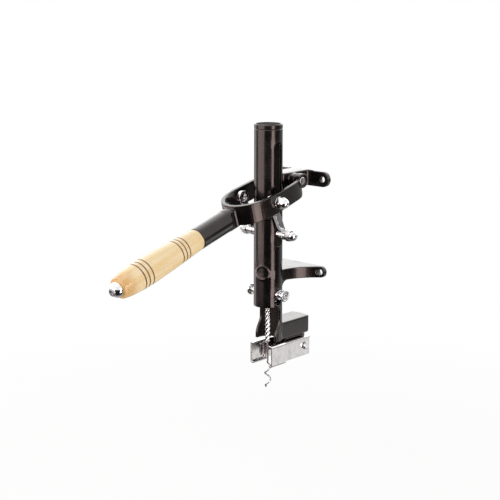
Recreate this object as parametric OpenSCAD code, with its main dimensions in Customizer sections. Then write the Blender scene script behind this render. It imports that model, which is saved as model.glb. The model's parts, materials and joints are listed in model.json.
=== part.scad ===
// Counter mount corkscrew. A cast barrel is screwed to a bar front or a wall. A long
// lever swings on the bracket behind the barrel, and two links carry its stroke to a
// carrier inside. The carrier pushes a twisted spindle through a nut, which turns the
// worm into the cork, while two jaws hold the neck of the bottle.
// Millimetres, +Z up, -Y to the front. The origin lies on the mounting plane, midway
// between the two upper screw holes. The lever is drawn at its lower stop.

/* [Barrel] */
// Length of the barrel from the top of the cap to the bottom of the collar
barrel_h = 260; // [256:0.5:264]
// Outside diameter just under the cap
barrel_top_d = 33.4; // [33:0.1:34]
// Outside diameter at the collar, larger by the draft of the casting
barrel_base_d = 34.6; // [34.2:0.1:35.4]
// Bore in which the carrier and the nut holder slide
bore_d = 27; // [26.6:0.1:27.2]
// Height of the separate cap ring
cap_h = 5.5; // [4:0.5:8]
// Width of the slots in both sides of the barrel
slot_w = 12; // [11:0.5:13]

/* [Mounting feet] */
// Distance from the barrel's axis to the mounting plane
axis_gap = 64.5; // [63.5:0.5:66]
// Distance from the cap's top down to the upper screw holes
upper_hole_drop = 69.3; // [68.9:0.1:69.7]
// Spacing of the upper screw holes
upper_spacing = 66; // [64:1:68]
// Distance from the cap's top down to the lower screw holes
lower_hole_drop = 182.5; // [181.5:0.1:183.5]
// Spacing of the lower screw holes
lower_spacing = 62.4; // [61:0.2:64]
// Diameter of the screw holes
screw_hole_d = 7; // [6:0.5:7.5]
// Thickness of the feet
foot_t = 5.5; // [5:0.5:6]

/* [Lever] */
// Distance of the lever's pivot behind the barrel's axis
pivot_back = 30; // [29.5:0.5:30.5]
// Distance of the lever's pivot below the cap's top
pivot_drop = 68; // [67.5:0.5:68.5]
// Angle of the ring below the horizontal at the lower stop
droop = 14; // [13.5:0.5:14.5]
// Half width of the ring round the barrel
ring_half_w = 33; // [33:0.5:36]
// Reach of the ring in front of its widest place
ring_reach = 45; // [43:1:48]
// Thickness of the ring's band
band_t = 4.7; // [4:0.1:5]
// Length of the iron socket between the ring and the wooden grip
socket_len = 50; // [40:1:60]
// Length of the wooden grip
grip_len = 122; // [110:1:130]
// Largest diameter of the wooden grip
grip_d = 31.4; // [30:0.2:34]

/* [Links] */
// Distance of the link pins from the lever's pivot, along the ring
link_pin_u = 52.4; // [52:0.2:52.8]
// Distance of the link pins from the lever's pivot, square to the ring
link_pin_v = -6.4; // [-6.8:0.2:-6]
// Distance from the cap's top down to the carrier's cross pin at the lower stop
cross_pin_drop = 128; // [127.5:0.5:128]
// Thickness of the links
link_t = 5; // [4.6:0.1:5.2]
// Width of the links
link_w = 8; // [7:0.5:9]
// Diameter of the cross pin
cross_pin_d = 8; // [7:0.5:8]

/* [Spindle and worm] */
// Diameter over the ridges of the twisted spindle
spindle_d = 7; // [6.4:0.2:7]
// Advance of the spindle and of the worm in one turn
lead = 16; // [14:1:20]
// Number of ridges on the spindle
starts = 3; // [2:1:4]
// Outside diameter of the worm
worm_od = 9.6; // [9:0.2:10.4]
// Thickness of the worm's wire
worm_wire = 2.8; // [2.4:0.1:3.2]
// Distance from the cap's top down to the worm's point
worm_tip_drop = 320.4; // [316:0.2:326]

/* [Jaws] */
// Height of the jaws' front pockets
jaw_h = 26.2; // [25.2:0.5:27.2]
// Half width over the front pockets
jaw_half_w = 17.6; // [17.2:0.2:18.4]
// Thickness of the jaws' walls
jaw_t = 2; // [1.6:0.2:2.2]

/* [Hidden] */
$fn = 72;

// Colours
black_iron = [0.09, 0.09, 0.10];
chrome = [0.86, 0.87, 0.89];
dark_steel = [0.25, 0.25, 0.27];
pale_wood = [0.91, 0.79, 0.57];
brass_yellow = [0.78, 0.64, 0.32];

// Overlap that makes cuts break through and unions fuse
eps = 0.5;
// Radial running fit of what slides or turns
fit = 0.07;
// Side play between pieces that turn against each other
play = 0.1;
flare_steps = 8;

bore_r = bore_d / 2;
foot_front = axis_gap - foot_t;

// Side slots, upper pair for the cross pin and lower pair for the thumb screws
slot_top = 20.5;
slot_bottom = cross_pin_drop + 9 + slot_w / 2;
low_slot_top = 196;
low_slot_bottom = 215;

// Window in the front of the barrel and the ledge above it
window_top = 217.4;
window_back = 3.5;
window_top_r = 7;
collar_front = -4;
collar_top = barrel_h - 6;
collar_flare = 20;
ledge_t = 2;
ledge_hole_d = 12;

// Hub, bracket and feet behind the barrel
hub_half_w = 12.2;
hub_top = 59;
hub_bottom = 78;
hub_fillet = 6;
pivot_boss_r = 8;
pivot_boss_x = 20.2;
pivot_pin_d = 9;
upper_foot_r = 9.25;
lower_foot_r = 6.9;
fan_root_w = 8.5;
fan_spread = 23;
fan_start = 14;
gusset_r = 10;
block_half_w = 14;
block_top = 239.3;
block_back = 62.5;
block_rear_r = 36.4;
block_chamfer = 2.6;
tongue_half_w = 10;
tongue_front = 22;
tongue_back = 57;
rocker_r = 2.9;
tongue_bottom = barrel_h + 22;

// Bare round pad on the front of the barrel
pad_r = 8.5;
pad_drop = 174.7;
pad_angle = 18;
pad_rise = 0.6;

// Lever, in a frame whose -Y runs along the ring and whose +Z is square to it
band_top = 3.9;
band_bottom_front = -20.1;
band_bottom_rear = -17.6;
ring_centre_u = 55.4;
arm_rear_u = 1.4;
arm_corner_r = 7;
eye_r = 8.5;
eye_in = 20.5;
eye_out = 28.5;
eye_recess_r = 7.1;
eye_recess = 2.2;
handle_u = 100.4;
handle_v = -11;
handle_tilt = 2.67;
boss_r = 13;
boss_end = 9.4;
neck_r = 7;
neck_x = 15;
neck_at = 2.5;
socket_r = 12.6;
socket_end = 7 + socket_len;
grip_end = socket_end + grip_len;
rod_r = 4;
cap_r = 8.8;
cap_len = 9.6;
cap_seat = 3;

// Linkage, worked out from the pivots
pivot = [0, pivot_back, -pivot_drop];
link_pin = [
    0,
    pivot_back - link_pin_u * cos(droop) - link_pin_v * sin(droop),
    -pivot_drop - link_pin_u * sin(droop) + link_pin_v * cos(droop)
];
cross_pin_at = [0, 0, -cross_pin_drop];
link_len = norm(link_pin - cross_pin_at);
link_lean = atan2(-link_pin[1], link_pin[2] + cross_pin_drop);
link_in = 20.8;
link_out = link_in + link_t;
link_low_r = 6.5;
link_high_r = 7.8;
link_socket_r = 5;
washer_t = 4.6;
washer_r = 6;
nut_across = 13;
nut_hex_h = 6.5;
nut_total_h = 13;
thread_depth = 9;

// Carrier and spindle
carrier_half_h = 15;
head_r = 5.5;
head_h = 3.8;
head_top = cross_pin_drop + cross_pin_d / 2 + 2.4;
bush_t = 4.4;
spindle_twist_top = 151;
spindle_end = 262;

// Worm
worm_shank_d = 3.5;
helix_top = 287;
ring_steps = 20;

// Nut holder and its spring
holder_top = 172;
holder_bottom = 206.6;
holder_pocket_r = 10;
holder_floor = 188.5;
nut_r = 9.8;
nut_bore_d = spindle_d + 0.6;
thumb_drop = 202;
thumb_r = 7;
thumb_bush_r = slot_w / 2 - 0.2;
spring_wire = 1.6;
spring_r = 11.8;
spring_turns = 2;
spring_sides = 6;
spring_rings = 8;
ledge_top = window_top - ledge_t;

// Jaws
jaw_top = barrel_h + 3.8;
jaw_bottom = jaw_top + jaw_h;
jaw_front = -12;
jaw_step = 13.8;
jaw_lip = 12;
jaw_round = 2.5;
plate_in = 13;
plate_out = 15.6;
plate_back = 59.5;
plate_trim = 0.8;
plate_lip = 1.8;
tab_front = 5;
tab_top = 269.3;
tab_bottom = 284;
jaw_pivot = [10, 51];
jaw_screw_drop = barrel_h + 15.7;
jaw_shank_d = 5;
jaw_head_r = 4.75;

function barrel_r(drop) =
    barrel_top_d / 2 + (barrel_base_d - barrel_top_d) / 2 * (drop - cap_h) / (barrel_h - cap_h);

// Barrel's frame: Z runs down its axis from the top of the cap
module in_place() translate([0, -axis_gap, upper_hole_drop]) children();

module both_sides() {
    children();
    mirror([1, 0, 0]) children();
}

// Rod along X between two places
module x_rod(r, x0, x1) translate([x0, 0, 0]) rotate([0, 90, 0]) cylinder(r = r, h = x1 - x0);

// Profile drawn in Y and Z, made into a plate of the given width across X
module side_plate(half_w) rotate([90, 0, 90]) linear_extrude(2 * half_w, center = true) children();

// Concave quarter round that fills the corner at the origin, towards -X and +Y
module fillet_2d(r) difference() {
    translate([-eps, 0]) square([r + eps, r + eps]);
    translate([r, 0]) circle(r);
}

// What lies outside a quarter round at a corner, for cutting that corner off
module corner_2d(r) difference() {
    square(r + eps);
    circle(r);
}

// ---------- Cast body ----------

module barrel_outside() translate([0, 0, -barrel_h])
    cylinder(r1 = barrel_base_d / 2, r2 = barrel_top_d / 2, h = barrel_h - cap_h);

// Flat foot with a round ear about each screw hole
module foot_plate(hole_x, drop, ear_r) {
    translate([-hole_x, foot_front, -drop - ear_r]) cube([2 * hole_x, foot_t, 2 * ear_r]);
    both_sides() translate([hole_x, foot_front, -drop]) rotate([-90, 0, 0]) cylinder(r = ear_r, h = foot_t);
}

module upper_bracket() {
    translate([0, 0, -hub_bottom]) linear_extrude(hub_bottom - hub_top) {
        translate([-hub_half_w, fan_start]) square([2 * hub_half_w, foot_front - fan_start + eps]);
        both_sides() translate([hub_half_w, foot_front - hub_fillet]) fillet_2d(hub_fillet);
        both_sides() translate([fan_root_w, fan_start]) square([hub_half_w - fan_root_w, 3]);
    }
    foot_plate(upper_spacing / 2, upper_hole_drop, upper_foot_r);
    translate(pivot) x_rod(pivot_boss_r, -pivot_boss_x, pivot_boss_x);
}

// The lower bracket spreads like a fan from the barrel to its feet
module lower_bracket() {
    steps = 14;
    edge = [for (i = [0:steps]) let (t = i / steps)
        [fan_root_w + fan_spread * pow(t, 2.2), fan_start + (foot_front + eps - fan_start) * t]];
    fan_bottom = lower_hole_drop + lower_foot_r;
    translate([0, 0, -fan_bottom]) linear_extrude(2 * lower_foot_r) both_sides()
        polygon(concat([[-eps, fan_start]], edge, [[-eps, foot_front + eps]]));
    foot_plate(lower_spacing / 2, lower_hole_drop, lower_foot_r);
    translate([0, barrel_base_d / 2 - 1, -fan_bottom - gusset_r]) side_plate(fan_root_w) difference() {
        square([gusset_r, gusset_r + eps]);
        translate([gusset_r, 0]) circle(gusset_r);
    }
}

module lower_block() difference() {
    translate([0, 0, -barrel_h]) linear_extrude(barrel_h - block_top) {
        translate([-block_half_w, 8]) square([2 * block_half_w, block_back - 14]);
        intersection() {
            translate([-block_half_w, block_back - 10]) square([2 * block_half_w, 10]);
            translate([0, block_back - block_rear_r]) circle(block_rear_r);
        }
    }
    translate([0, block_back - 2, -barrel_h]) side_plate(20) polygon(
        [[-block_chamfer, -eps], [5, -eps], [5, block_chamfer + 5]]);
}

// Tongue between the rear plates of the jaws, with a round rib each side on which they rock
module jaw_tongue() {
    translate([-tongue_half_w, tongue_front, -tongue_bottom])
        cube([2 * tongue_half_w, tongue_back - tongue_front, tongue_bottom - barrel_h + eps]);
    both_sides() translate([jaw_pivot[0], jaw_pivot[1], -tongue_bottom])
        cylinder(r = rocker_r, h = tongue_bottom - barrel_h + eps);
}

module bare_pad() intersection() {
    translate([0, 0, -pad_drop - 12]) cylinder(r = barrel_r(pad_drop) + pad_rise, h = 24);
    translate([0, 0, -pad_drop]) rotate([0, 0, pad_angle]) rotate([90, 0, 0]) cylinder(r = pad_r, h = 30);
}

module barrel_bore() {
    translate([0, 0, -ledge_top]) cylinder(r = bore_r, h = ledge_top + eps);
    translate([0, 0, -barrel_h - eps]) cylinder(r = bore_r, h = barrel_h - window_top + eps);
    translate([0, 0, -window_top - eps]) cylinder(d = ledge_hole_d, h = ledge_t + 2 * eps);
}

// Slot with round ends through both walls of the barrel
module wall_slot(top, bottom) {
    for (drop = [top + slot_w / 2, bottom - slot_w / 2])
        translate([0, 0, -drop]) x_rod(slot_w / 2, -25, 25);
    translate([-25, -slot_w / 2, -bottom + slot_w / 2]) cube([50, slot_w, bottom - top - slot_w]);
}

// The window runs out of the barrel's lower end, where both its sides come forward into the collar
module front_window() side_plate(30) difference() {
    translate([-30, -barrel_h - 1]) square([30 + window_back, barrel_h + 1 - window_top]);
    translate([window_back - window_top_r, -window_top - window_top_r]) corner_2d(window_top_r);
    polygon([
        for (i = [0:flare_steps])
            let (t = i / flare_steps)
            [window_back + (collar_front - window_back) * (1 - cos(180 * t)) / 2,
                -collar_top + collar_flare * (1 - t)],
        [collar_front, -barrel_h - 2],
        [window_back + 1, -barrel_h - 2],
        [window_back + 1, -collar_top + collar_flare]
    ]);
}

module foot_holes(spacing, drop) both_sides() translate([spacing / 2, foot_front - 12, -drop])
    rotate([-90, 0, 0]) cylinder(d = screw_hole_d, h = foot_t + 12 + eps);

module body_casting() color(black_iron) in_place() difference() {
    union() {
        barrel_outside();
        upper_bracket();
        lower_bracket();
        lower_block();
        jaw_tongue();
        bare_pad();
    }
    barrel_bore();
    wall_slot(slot_top, slot_bottom);
    wall_slot(low_slot_top, low_slot_bottom);
    front_window();
    translate(pivot) x_rod(pivot_pin_d / 2 + 0.02, -30, 30);
    foot_holes(upper_spacing, upper_hole_drop);
    foot_holes(lower_spacing, lower_hole_drop);
    translate([0, jaw_pivot[1], -jaw_screw_drop]) x_rod(jaw_shank_d / 2 + 0.02, -20, 20);
}

// Cap ring whose spigot closes the top of the bore
module top_cap() color(black_iron) in_place() rotate_extrude() polygon([
    [0, 0], [barrel_top_d / 2 - 0.7, 0], [barrel_top_d / 2, -0.7], [barrel_top_d / 2, -cap_h],
    [bore_r - 0.05, -cap_h], [bore_r - 0.05, -cap_h - 5], [bore_r - 1, -cap_h - 6], [0, -cap_h - 6]
]);

// Pin on which both eyes of the lever turn, held in the hub
module lever_pivot_pin() color(chrome) in_place() translate(pivot)
    x_rod(pivot_pin_d / 2, -eye_out + 1, eye_out - 1);

// Slotted screw that carries both jaws
module jaw_screw() color(chrome) in_place() translate([0, jaw_pivot[1], -jaw_screw_drop]) difference() {
    union() {
        x_rod(jaw_shank_d / 2, -plate_out - 4.4, plate_out + 1);
        translate([plate_out + 0.8, 0, 0]) rotate([0, 90, 0])
            cylinder(r1 = jaw_head_r, r2 = jaw_head_r - 0.8, h = 2.4);
    }
    translate([plate_out + 2.2, -0.6, -6]) cube([2, 1.2, 12]);
}

module jaw_nut() color(chrome) in_place() translate([-plate_out - 0.8, jaw_pivot[1], -jaw_screw_drop])
    rotate([0, -90, 0]) difference() {
        cylinder(r = 4.6, h = 3.4, $fn = 6);
        translate([0, 0, -eps]) cylinder(r = jaw_shank_d / 2 + 0.02, h = 5);
    }

// ---------- Carrier ----------

// Guide block that runs in a side slot, with the slot's own round lower end
module guide_block() {
    x_rod_r = slot_w / 2 - 0.12;
    translate([0, 0, -9]) x_rod(x_rod_r, 5, 17.2);
    translate([5, -x_rod_r, -9]) cube([12.2, 2 * x_rod_r, 20]);
}

module carrier() color(dark_steel) in_place() translate(cross_pin_at) difference() {
    union() {
        translate([0, 0, -carrier_half_h]) cylinder(r = bore_r - fit, h = 2 * carrier_half_h);
        both_sides() guide_block();
    }
    x_rod(cross_pin_d / 2 + 0.02, -30, 30);
    translate([0, 0, -carrier_half_h - eps])
        cylinder(r = 7, h = carrier_half_h - (head_top - cross_pin_drop) + eps);
}

// Screwed bush that holds the spindle's head up in the carrier
module spindle_bush() color(brass_yellow) in_place()
    translate([0, 0, -cross_pin_drop - carrier_half_h]) difference() {
        cylinder(r = 6.97, h = bush_t);
        translate([0, 0, -eps]) cylinder(d = spindle_d + 2 * fit, h = bush_t + 2 * eps);
    }

module cross_pin() color(chrome) in_place() translate(cross_pin_at) {
    half_len = link_out + play + washer_t + thread_depth - eps;
    x_rod(cross_pin_d / 2, -half_len, half_len);
}

module pin_spacers() color(chrome) in_place() translate(cross_pin_at) both_sides() difference() {
    x_rod(washer_r, 17.3, link_in - play);
    x_rod(cross_pin_d / 2 + 0.02, 16, link_in);
}

module pin_washers() color(chrome) in_place() translate(cross_pin_at) both_sides() difference() {
    x_rod(washer_r, link_out + play, link_out + play + washer_t);
    x_rod(cross_pin_d / 2 + 0.02, link_out, link_out + washer_t + 1);
}

// Domed nut on the X axis, its face at x0
module acorn_nut(x0, bore, depth) translate([x0, 0, 0]) rotate([0, 90, 0]) difference() {
    union() {
        intersection() {
            cylinder(r = nut_across / sqrt(3), h = nut_hex_h, $fn = 6);
            translate([0, 0, -nut_across / sqrt(3) * 0.9])
                cylinder(
                    r1 = nut_across / sqrt(3) * 2,
                    r2 = nut_across / 2,
                    h = nut_hex_h + nut_across / sqrt(3) * 0.9
                );
        }
        intersection() {
            translate([0, 0, nut_total_h - 6.3]) sphere(6.3);
            translate([0, 0, 4]) cylinder(r = 10, h = nut_total_h);
        }
        cylinder(r = 6.1, h = nut_total_h - 6.3);
    }
    translate([0, 0, -eps]) cylinder(r = bore, h = depth + eps);
}

module pin_acorn_nuts() color(chrome) in_place() translate(cross_pin_at) both_sides()
    acorn_nut(link_out + play + washer_t, cross_pin_d / 2 + 0.02, thread_depth);

// ---------- Links ----------

module link(side) color(chrome) in_place() translate(cross_pin_at) rotate([link_lean, 0, 0])
    mirror([side < 0 ? 1 : 0, 0, 0]) difference() {
        union() {
            x_rod(link_low_r, link_in, link_out);
            translate([0, 0, link_len]) x_rod(link_high_r, link_in, link_out);
            translate([link_in, -link_w / 2, 0]) cube([link_t, link_w, link_len]);
        }
        x_rod(cross_pin_d / 2 + fit, link_in - 1, link_out + 1);
        translate([0, 0, link_len]) x_rod(3.6, link_in - 1, link_out + 1);
        translate([0, 0, link_len]) x_rod(link_socket_r, link_in - 1, link_in + 2.6);
    }

module left_link() link(-1);
module right_link() link(1);

// ---------- Lever ----------

module in_lever() in_place() translate(pivot) rotate([droop, 0, 0]) children();
module in_handle() in_lever() translate([0, -handle_u, handle_v]) rotate([handle_tilt, 0, 0]) children();

// Rod along the handle between two distances from its root
module grip_rod(r, from, to) translate([0, -from, 0]) rotate([90, 0, 0]) cylinder(r = r, h = to - from);

// Half width of the ring behind its widest place, drawn in towards the pivot
function arm_half_w(u) = let (s = 1 - u / ring_centre_u) ring_half_w - 2 * s - 6.5 * pow(s, 7);

function ring_side(inset) = concat(
    [for (u = [arm_rear_u - 1:3:ring_centre_u - 1]) [arm_half_w(max(u, 0)) - inset, -u]],
    [for (a = [0:5:90]) [(ring_half_w - inset) * cos(a), -ring_centre_u - (ring_reach - inset) * sin(a)]]
);

// Half of the band in plan, between its outer line and the same line set in by the wall
module band_half() difference() {
    polygon(concat([[-eps, -arm_rear_u + 1]], ring_side(0), [[-eps, -ring_centre_u - ring_reach]]));
    polygon(concat(
        [[-2 * eps, 5], [arm_half_w(0) - band_t, 5]], ring_side(band_t),
        [[-2 * eps, -ring_centre_u - ring_reach + band_t]]
    ));
}

// Side view of the band: level top, underside rising to the rear, round lower rear corner
module band_side() difference() {
    polygon([
        [-arm_rear_u, band_top], [-120, band_top], [-120, band_bottom_front - 0.6],
        [-25, band_bottom_rear], [-arm_rear_u, band_bottom_rear]
    ]);
    translate([-arm_rear_u - arm_corner_r, band_bottom_rear + arm_corner_r])
        mirror([0, 1]) corner_2d(arm_corner_r);
}

module lever_fork() color(black_iron) difference() {
    union() {
        in_lever() intersection() {
            translate([0, 0, -40]) linear_extrude(60) both_sides() band_half();
            side_plate(60) band_side();
        }
        in_lever() both_sides() x_rod(eye_r, eye_in, eye_out);
        in_handle() {
            grip_rod(boss_r, -3.2, boss_end);
            grip_rod(socket_r, boss_end - eps, socket_end);
        }
    }
    in_lever() both_sides() {
        x_rod(pivot_pin_d / 2 + fit, eye_in - 1, eye_out + 1);
        x_rod(eye_recess_r, eye_out - eye_recess, eye_out + 1);
        translate([0, -link_pin_u, link_pin_v]) x_rod(4.02, ring_half_w - band_t - 2, ring_half_w + 2);
    }
    in_handle() {
        grip_rod(rod_r + 0.02, 14, socket_end + 1);
        both_sides() translate([neck_x, -neck_at, 0]) cylinder(r = neck_r, h = 2 * boss_r + 2, center = true);
    }
}

// Screw in each side of the ring, cut short where the link would ride on it
module link_screws() color(chrome) in_lever() translate([0, -link_pin_u, link_pin_v])
    both_sides() x_rod(4, ring_half_w - band_t, ring_half_w + 1.3 + thread_depth - eps);

module link_washers() color(chrome) in_lever() translate([0, -link_pin_u, link_pin_v])
    both_sides() difference() {
        x_rod(7, ring_half_w, ring_half_w + 1.3);
        x_rod(4.02, ring_half_w - 1, ring_half_w + 2);
    }

module link_acorn_nuts() color(chrome) in_lever() translate([0, -link_pin_u, link_pin_v])
    both_sides() acorn_nut(ring_half_w + 1.3, 4.02, thread_depth);

module handle_rod() color(dark_steel) in_handle() difference() {
    grip_rod(rod_r, 14, grip_end + 3);
    grip_rod(2.02, grip_end - 10, grip_end + 4);
}

// Distance along the grip and radius there, as fractions of its length and its largest radius
grip_shape = [[0, 0.777], [0.06, 0.815], [0.35, 0.93], [0.62, 1], [0.78, 0.985], [0.92, 0.89], [1, 0.76]];
groove_at = [0.2, 0.245, 0.29, 0.685, 0.735, 0.78];
groove_cut = 0.45;

module wood_grip() color(pale_wood) in_handle() translate([0, -socket_end, 0]) rotate([90, 0, 0])
    difference() {
        rotate_extrude() polygon(concat(
            [[0, 0]], [for (s = grip_shape) [grip_d / 2 * s[1], grip_len * s[0]]], [[0, grip_len]]
        ));
        translate([0, 0, -eps]) cylinder(r = rod_r + 0.03, h = grip_len + 2 * eps);
        for (g = groove_at) translate([0, 0, grip_len * g]) rotate_extrude()
            translate([grip_d / 2 * lookup(g, grip_shape), 0]) circle(groove_cut, $fn = 16);
    }

module end_cap() color(chrome) in_handle() translate([0, -grip_end, 0]) rotate([90, 0, 0])
    difference() {
        intersection() {
            translate([0, 0, 1]) sphere(cap_r + 0.2);
            cylinder(r = cap_r, h = cap_len);
        }
        translate([0, 0, -eps]) cylinder(r = rod_r + 0.03, h = cap_seat + eps);
        cylinder(r = 2.4, h = 20);
        translate([0, 0, cap_len - 2.4]) cylinder(r = 4.3, h = 20);
    }

module end_screw() color(dark_steel) in_handle() translate([0, -grip_end, 0]) rotate([90, 0, 0])
    difference() {
        union() {
            translate([0, 0, -9]) cylinder(r = 2, h = cap_len + 8);
            translate([0, 0, cap_len - 2.4]) cylinder(r = 4.1, h = 3);
        }
        translate([0, 0, cap_len - 1]) cylinder(r = 2.5, h = 5, $fn = 6);
    }

// ---------- Spindle and worm ----------

function unit(v) = v / norm(v);
function heading(p, i) = unit(p[min(i + 1, len(p) - 1)] - p[max(i - 1, 0)]);

// Round tube along a path. Each ring is turned by the direction given for it, so that a
// coil's rings stay in step with its angle.
module sweep(path, outward, radii, sides) {
    last = len(path) - 1;
    rings = [for (i = [0:last])
        let (t = heading(path, i), n = unit(outward[i] - (outward[i] * t) * t), b = cross(t, n))
        for (k = [0:sides - 1])
            path[i] + radii[i] * (cos(360 * k / sides) * n + sin(360 * k / sides) * b)];
    walls = [for (i = [0:last - 1], k = [0:sides - 1])
        let (a = i * sides + k, b = i * sides + (k + 1) % sides)
        each [[a, a + sides, b + sides], [a, b + sides, b]]];
    start = [for (k = [1:sides - 2]) [0, k, k + 1]];
    end = [for (k = [1:sides - 2]) [last * sides, last * sides + k + 1, last * sides + k]];
    polyhedron(points = rings, faces = concat(start, walls, end), convexity = 10);
}

// Section of the spindle: round ridges with hollow flanks between them
module ridge_section() {
    points = 6 * starts;
    polygon([
        for (i = [0:points - 1])
            let (a = 360 * i / points, r = spindle_d / 2 - 0.8 + 0.8 * cos(starts * a))
            [r * cos(a), r * sin(a)]
    ]);
}

module spindle() color(chrome) in_place() {
    twisted_h = spindle_end - spindle_twist_top;
    translate([0, 0, -spindle_end])
        linear_extrude(twisted_h, twist = -360 * twisted_h / lead, slices = round(16 * twisted_h / lead),
            convexity = 8, $fn = 6 * starts) ridge_section();
}

// Head and journal on which the spindle turns in the carrier's bush
module spindle_head() color(chrome) in_place() {
    translate([0, 0, -spindle_twist_top])
        cylinder(d = spindle_d, h = spindle_twist_top - head_top - head_h / 2);
    translate([0, 0, -head_top - head_h]) cylinder(r = head_r, h = head_h - play);
}

// Straight shank, then a coil that opens from the axis and thins to a point
module worm() color(chrome) in_place() {
    coil_r = (worm_od - worm_wire) / 2;
    coil_h = worm_tip_drop - helix_top;
    steps = round(ring_steps * coil_h / lead);
    angle = [for (i = [0:steps]) 200 - 360 * i / ring_steps];
    path = concat(
        [[0, 0, -spindle_end], [0, 0, -helix_top + 1.5]],
        [for (i = [0:steps]) let (f = i / steps, r = coil_r * min(1, f * 5) * (1 - 0.35 * pow(f, 6)))
            [r * cos(angle[i]), r * sin(angle[i]), -helix_top - coil_h * f]]
    );
    outward = concat(
        [for (k = [0:1]) [cos(angle[0]), sin(angle[0]), 0]],
        [for (a = angle) [cos(a), sin(a), 0]]
    );
    radii = concat(
        [worm_shank_d / 2, worm_shank_d / 2],
        [for (i = [0:steps]) let (f = i / steps)
            f < 0.12 ? (worm_shank_d - (worm_shank_d - worm_wire) * f / 0.12) / 2
                     : worm_wire / 2 * (f < 0.8 ? 1 : 0.08 + 0.92 * (1 - f) / 0.2)]
    );
    sweep(path, outward, radii, 10);
}

// ---------- Nut holder ----------

module nut_holder() color(dark_steel) in_place() difference() {
    translate([0, 0, -holder_bottom]) cylinder(r = bore_r - fit, h = holder_bottom - holder_top);
    translate([0, 0, -holder_floor]) cylinder(r = holder_pocket_r + 0.04, h = holder_floor);
    translate([0, 0, -holder_bottom - eps]) cylinder(r = 6, h = 40);
    translate([0, 0, -thumb_drop]) x_rod(2.54, -20, 20);
}

// Ring that keeps the drive nut down in its pocket
module nut_ring() color(dark_steel) in_place() translate([0, 0, -holder_top - 2.2]) difference() {
    cylinder(r = holder_pocket_r, h = 2.2);
    translate([0, 0, -eps]) cylinder(r = 6, h = 4);
}

// Bronze nut that drives the spindle, with its lead-in bevels
module drive_nut() color(brass_yellow) in_place()
    translate([0, 0, -holder_floor + play]) rotate_extrude() polygon([
    [nut_bore_d / 2 + 1, 0], [nut_r - 0.8, 0], [nut_r, 0.8], [nut_r, 13.2], [nut_r - 0.8, 14],
    [nut_bore_d / 2 + 1, 14], [nut_bore_d / 2, 13], [nut_bore_d / 2, 1]
]);

function coil_angle(i) = 360 * i / spring_rings;

// Points up the spring: a straight end, the coil and the other straight end
function spring_path() = let (
    rings = spring_turns * spring_rings,
    coil_h = ledge_top - holder_bottom - 2 * spring_wire
) concat(
    [[spring_r, 0, -ledge_top], [spring_r, 0, -ledge_top + spring_wire * 0.75]],
    [for (i = [0:rings]) [spring_r * cos(coil_angle(i)), spring_r * sin(coil_angle(i)),
        -ledge_top + spring_wire + coil_h * i / rings]],
    [[spring_r, 0, -holder_bottom - spring_wire * 0.75], [spring_r, 0, -holder_bottom]]
);

module holder_spring() color(chrome) in_place() {
    path = spring_path();
    last = len(path) - 1;
    outward = [
        for (i = [0:last])
            i < 2 || i > last - 2 ? [1, 0, 0] : [cos(coil_angle(i - 2)), sin(coil_angle(i - 2)), 0]
    ];
    gap = min([
        for (i = [2:last - 2], j = [2:last - 2])
            if (j - i >= spring_rings - 2) norm(path[i] - path[j])
    ]);
    echo(str("holder_spring least gap between turns, mm: ", gap - spring_wire));
    sweep(path, outward, [for (p = path) spring_wire / 2], spring_sides);
}

// Thumb screw that ties the holder to its slot: thread, bush, neck and disc
module thumb_screw(side) color(chrome) in_place() translate([0, 0, -thumb_drop])
    mirror([side < 0 ? 1 : 0, 0, 0]) {
        x_rod(2.5, 7.5, 14);
        x_rod(thumb_bush_r, bore_r + 0.1, 19.4);
        x_rod(3.4, 19, 25.2);
        translate([25, 0, 0]) rotate([0, 90, 0]) rotate_extrude() polygon([
            [0, 0], [thumb_r - 1.2, 0], [thumb_r, 0.7], [thumb_r, 2.3], [thumb_r - 0.7, 3],
            [3.2, 3.2], [2.8, 2.8], [0, 2.8]
        ]);
    }

module left_thumb_screw() thumb_screw(-1);
module right_thumb_screw() thumb_screw(1);

// ---------- Jaws ----------

// Outside of the front pocket in X and Z, with round outer edges
module pocket_outline() {
    inner = jaw_half_w - jaw_round;
    translate([jaw_lip, -jaw_bottom]) square([inner - jaw_lip, jaw_h]);
    translate([jaw_lip, -jaw_bottom + jaw_round]) square([jaw_half_w - jaw_lip, jaw_h - 2 * jaw_round]);
    for (z = [-jaw_bottom + jaw_round, -jaw_top - jaw_round]) translate([inner, z]) circle(jaw_round);
}

module y_run(from, to) translate([0, to, 0]) rotate([90, 0, 0]) linear_extrude(to - from) children();

// Each jaw is a channel round the neck, stepped in to a long plate beside the tongue. A tab
// runs forward from the plate, inside the channel, to bear on the glass.
module jaw(side) color(chrome) in_place() mirror([side < 0 ? 1 : 0, 0, 0]) {
    jaw_shell();
    translate([plate_in, tab_front, -tab_bottom])
        cube([jaw_half_w - jaw_t - plate_in + eps, jaw_step - tab_front, tab_bottom - tab_top]);
}

module jaw_shell() difference() {
    union() {
        y_run(jaw_front, jaw_step) pocket_outline();
        translate([plate_in, jaw_step - jaw_t, -jaw_bottom + plate_trim])
            cube([4, jaw_t, jaw_h - 2 * plate_trim]);
        translate([plate_in, jaw_step - jaw_t, -jaw_bottom + 2])
            cube([plate_out - plate_in, plate_back - jaw_step + jaw_t, jaw_h - 2 - plate_trim]);
        translate([plate_in, jaw_step - jaw_t, -jaw_top - plate_trim - 1.6])
            cube([plate_out - plate_in + plate_lip, plate_back - jaw_step + jaw_t, 1.6]);
    }
    translate([jaw_lip - 2, jaw_front - 1, -jaw_bottom + jaw_t])
        cube([jaw_half_w - jaw_t - jaw_lip + 2, jaw_step - jaw_t - jaw_front + 1, jaw_h - 2 * jaw_t]);
    translate([0, jaw_pivot[1], -jaw_screw_drop]) x_rod(jaw_shank_d / 2 + 0.9, plate_in - 2, plate_out + 4);
}

module left_jaw() jaw(-1);
module right_jaw() jaw(1);

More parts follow.
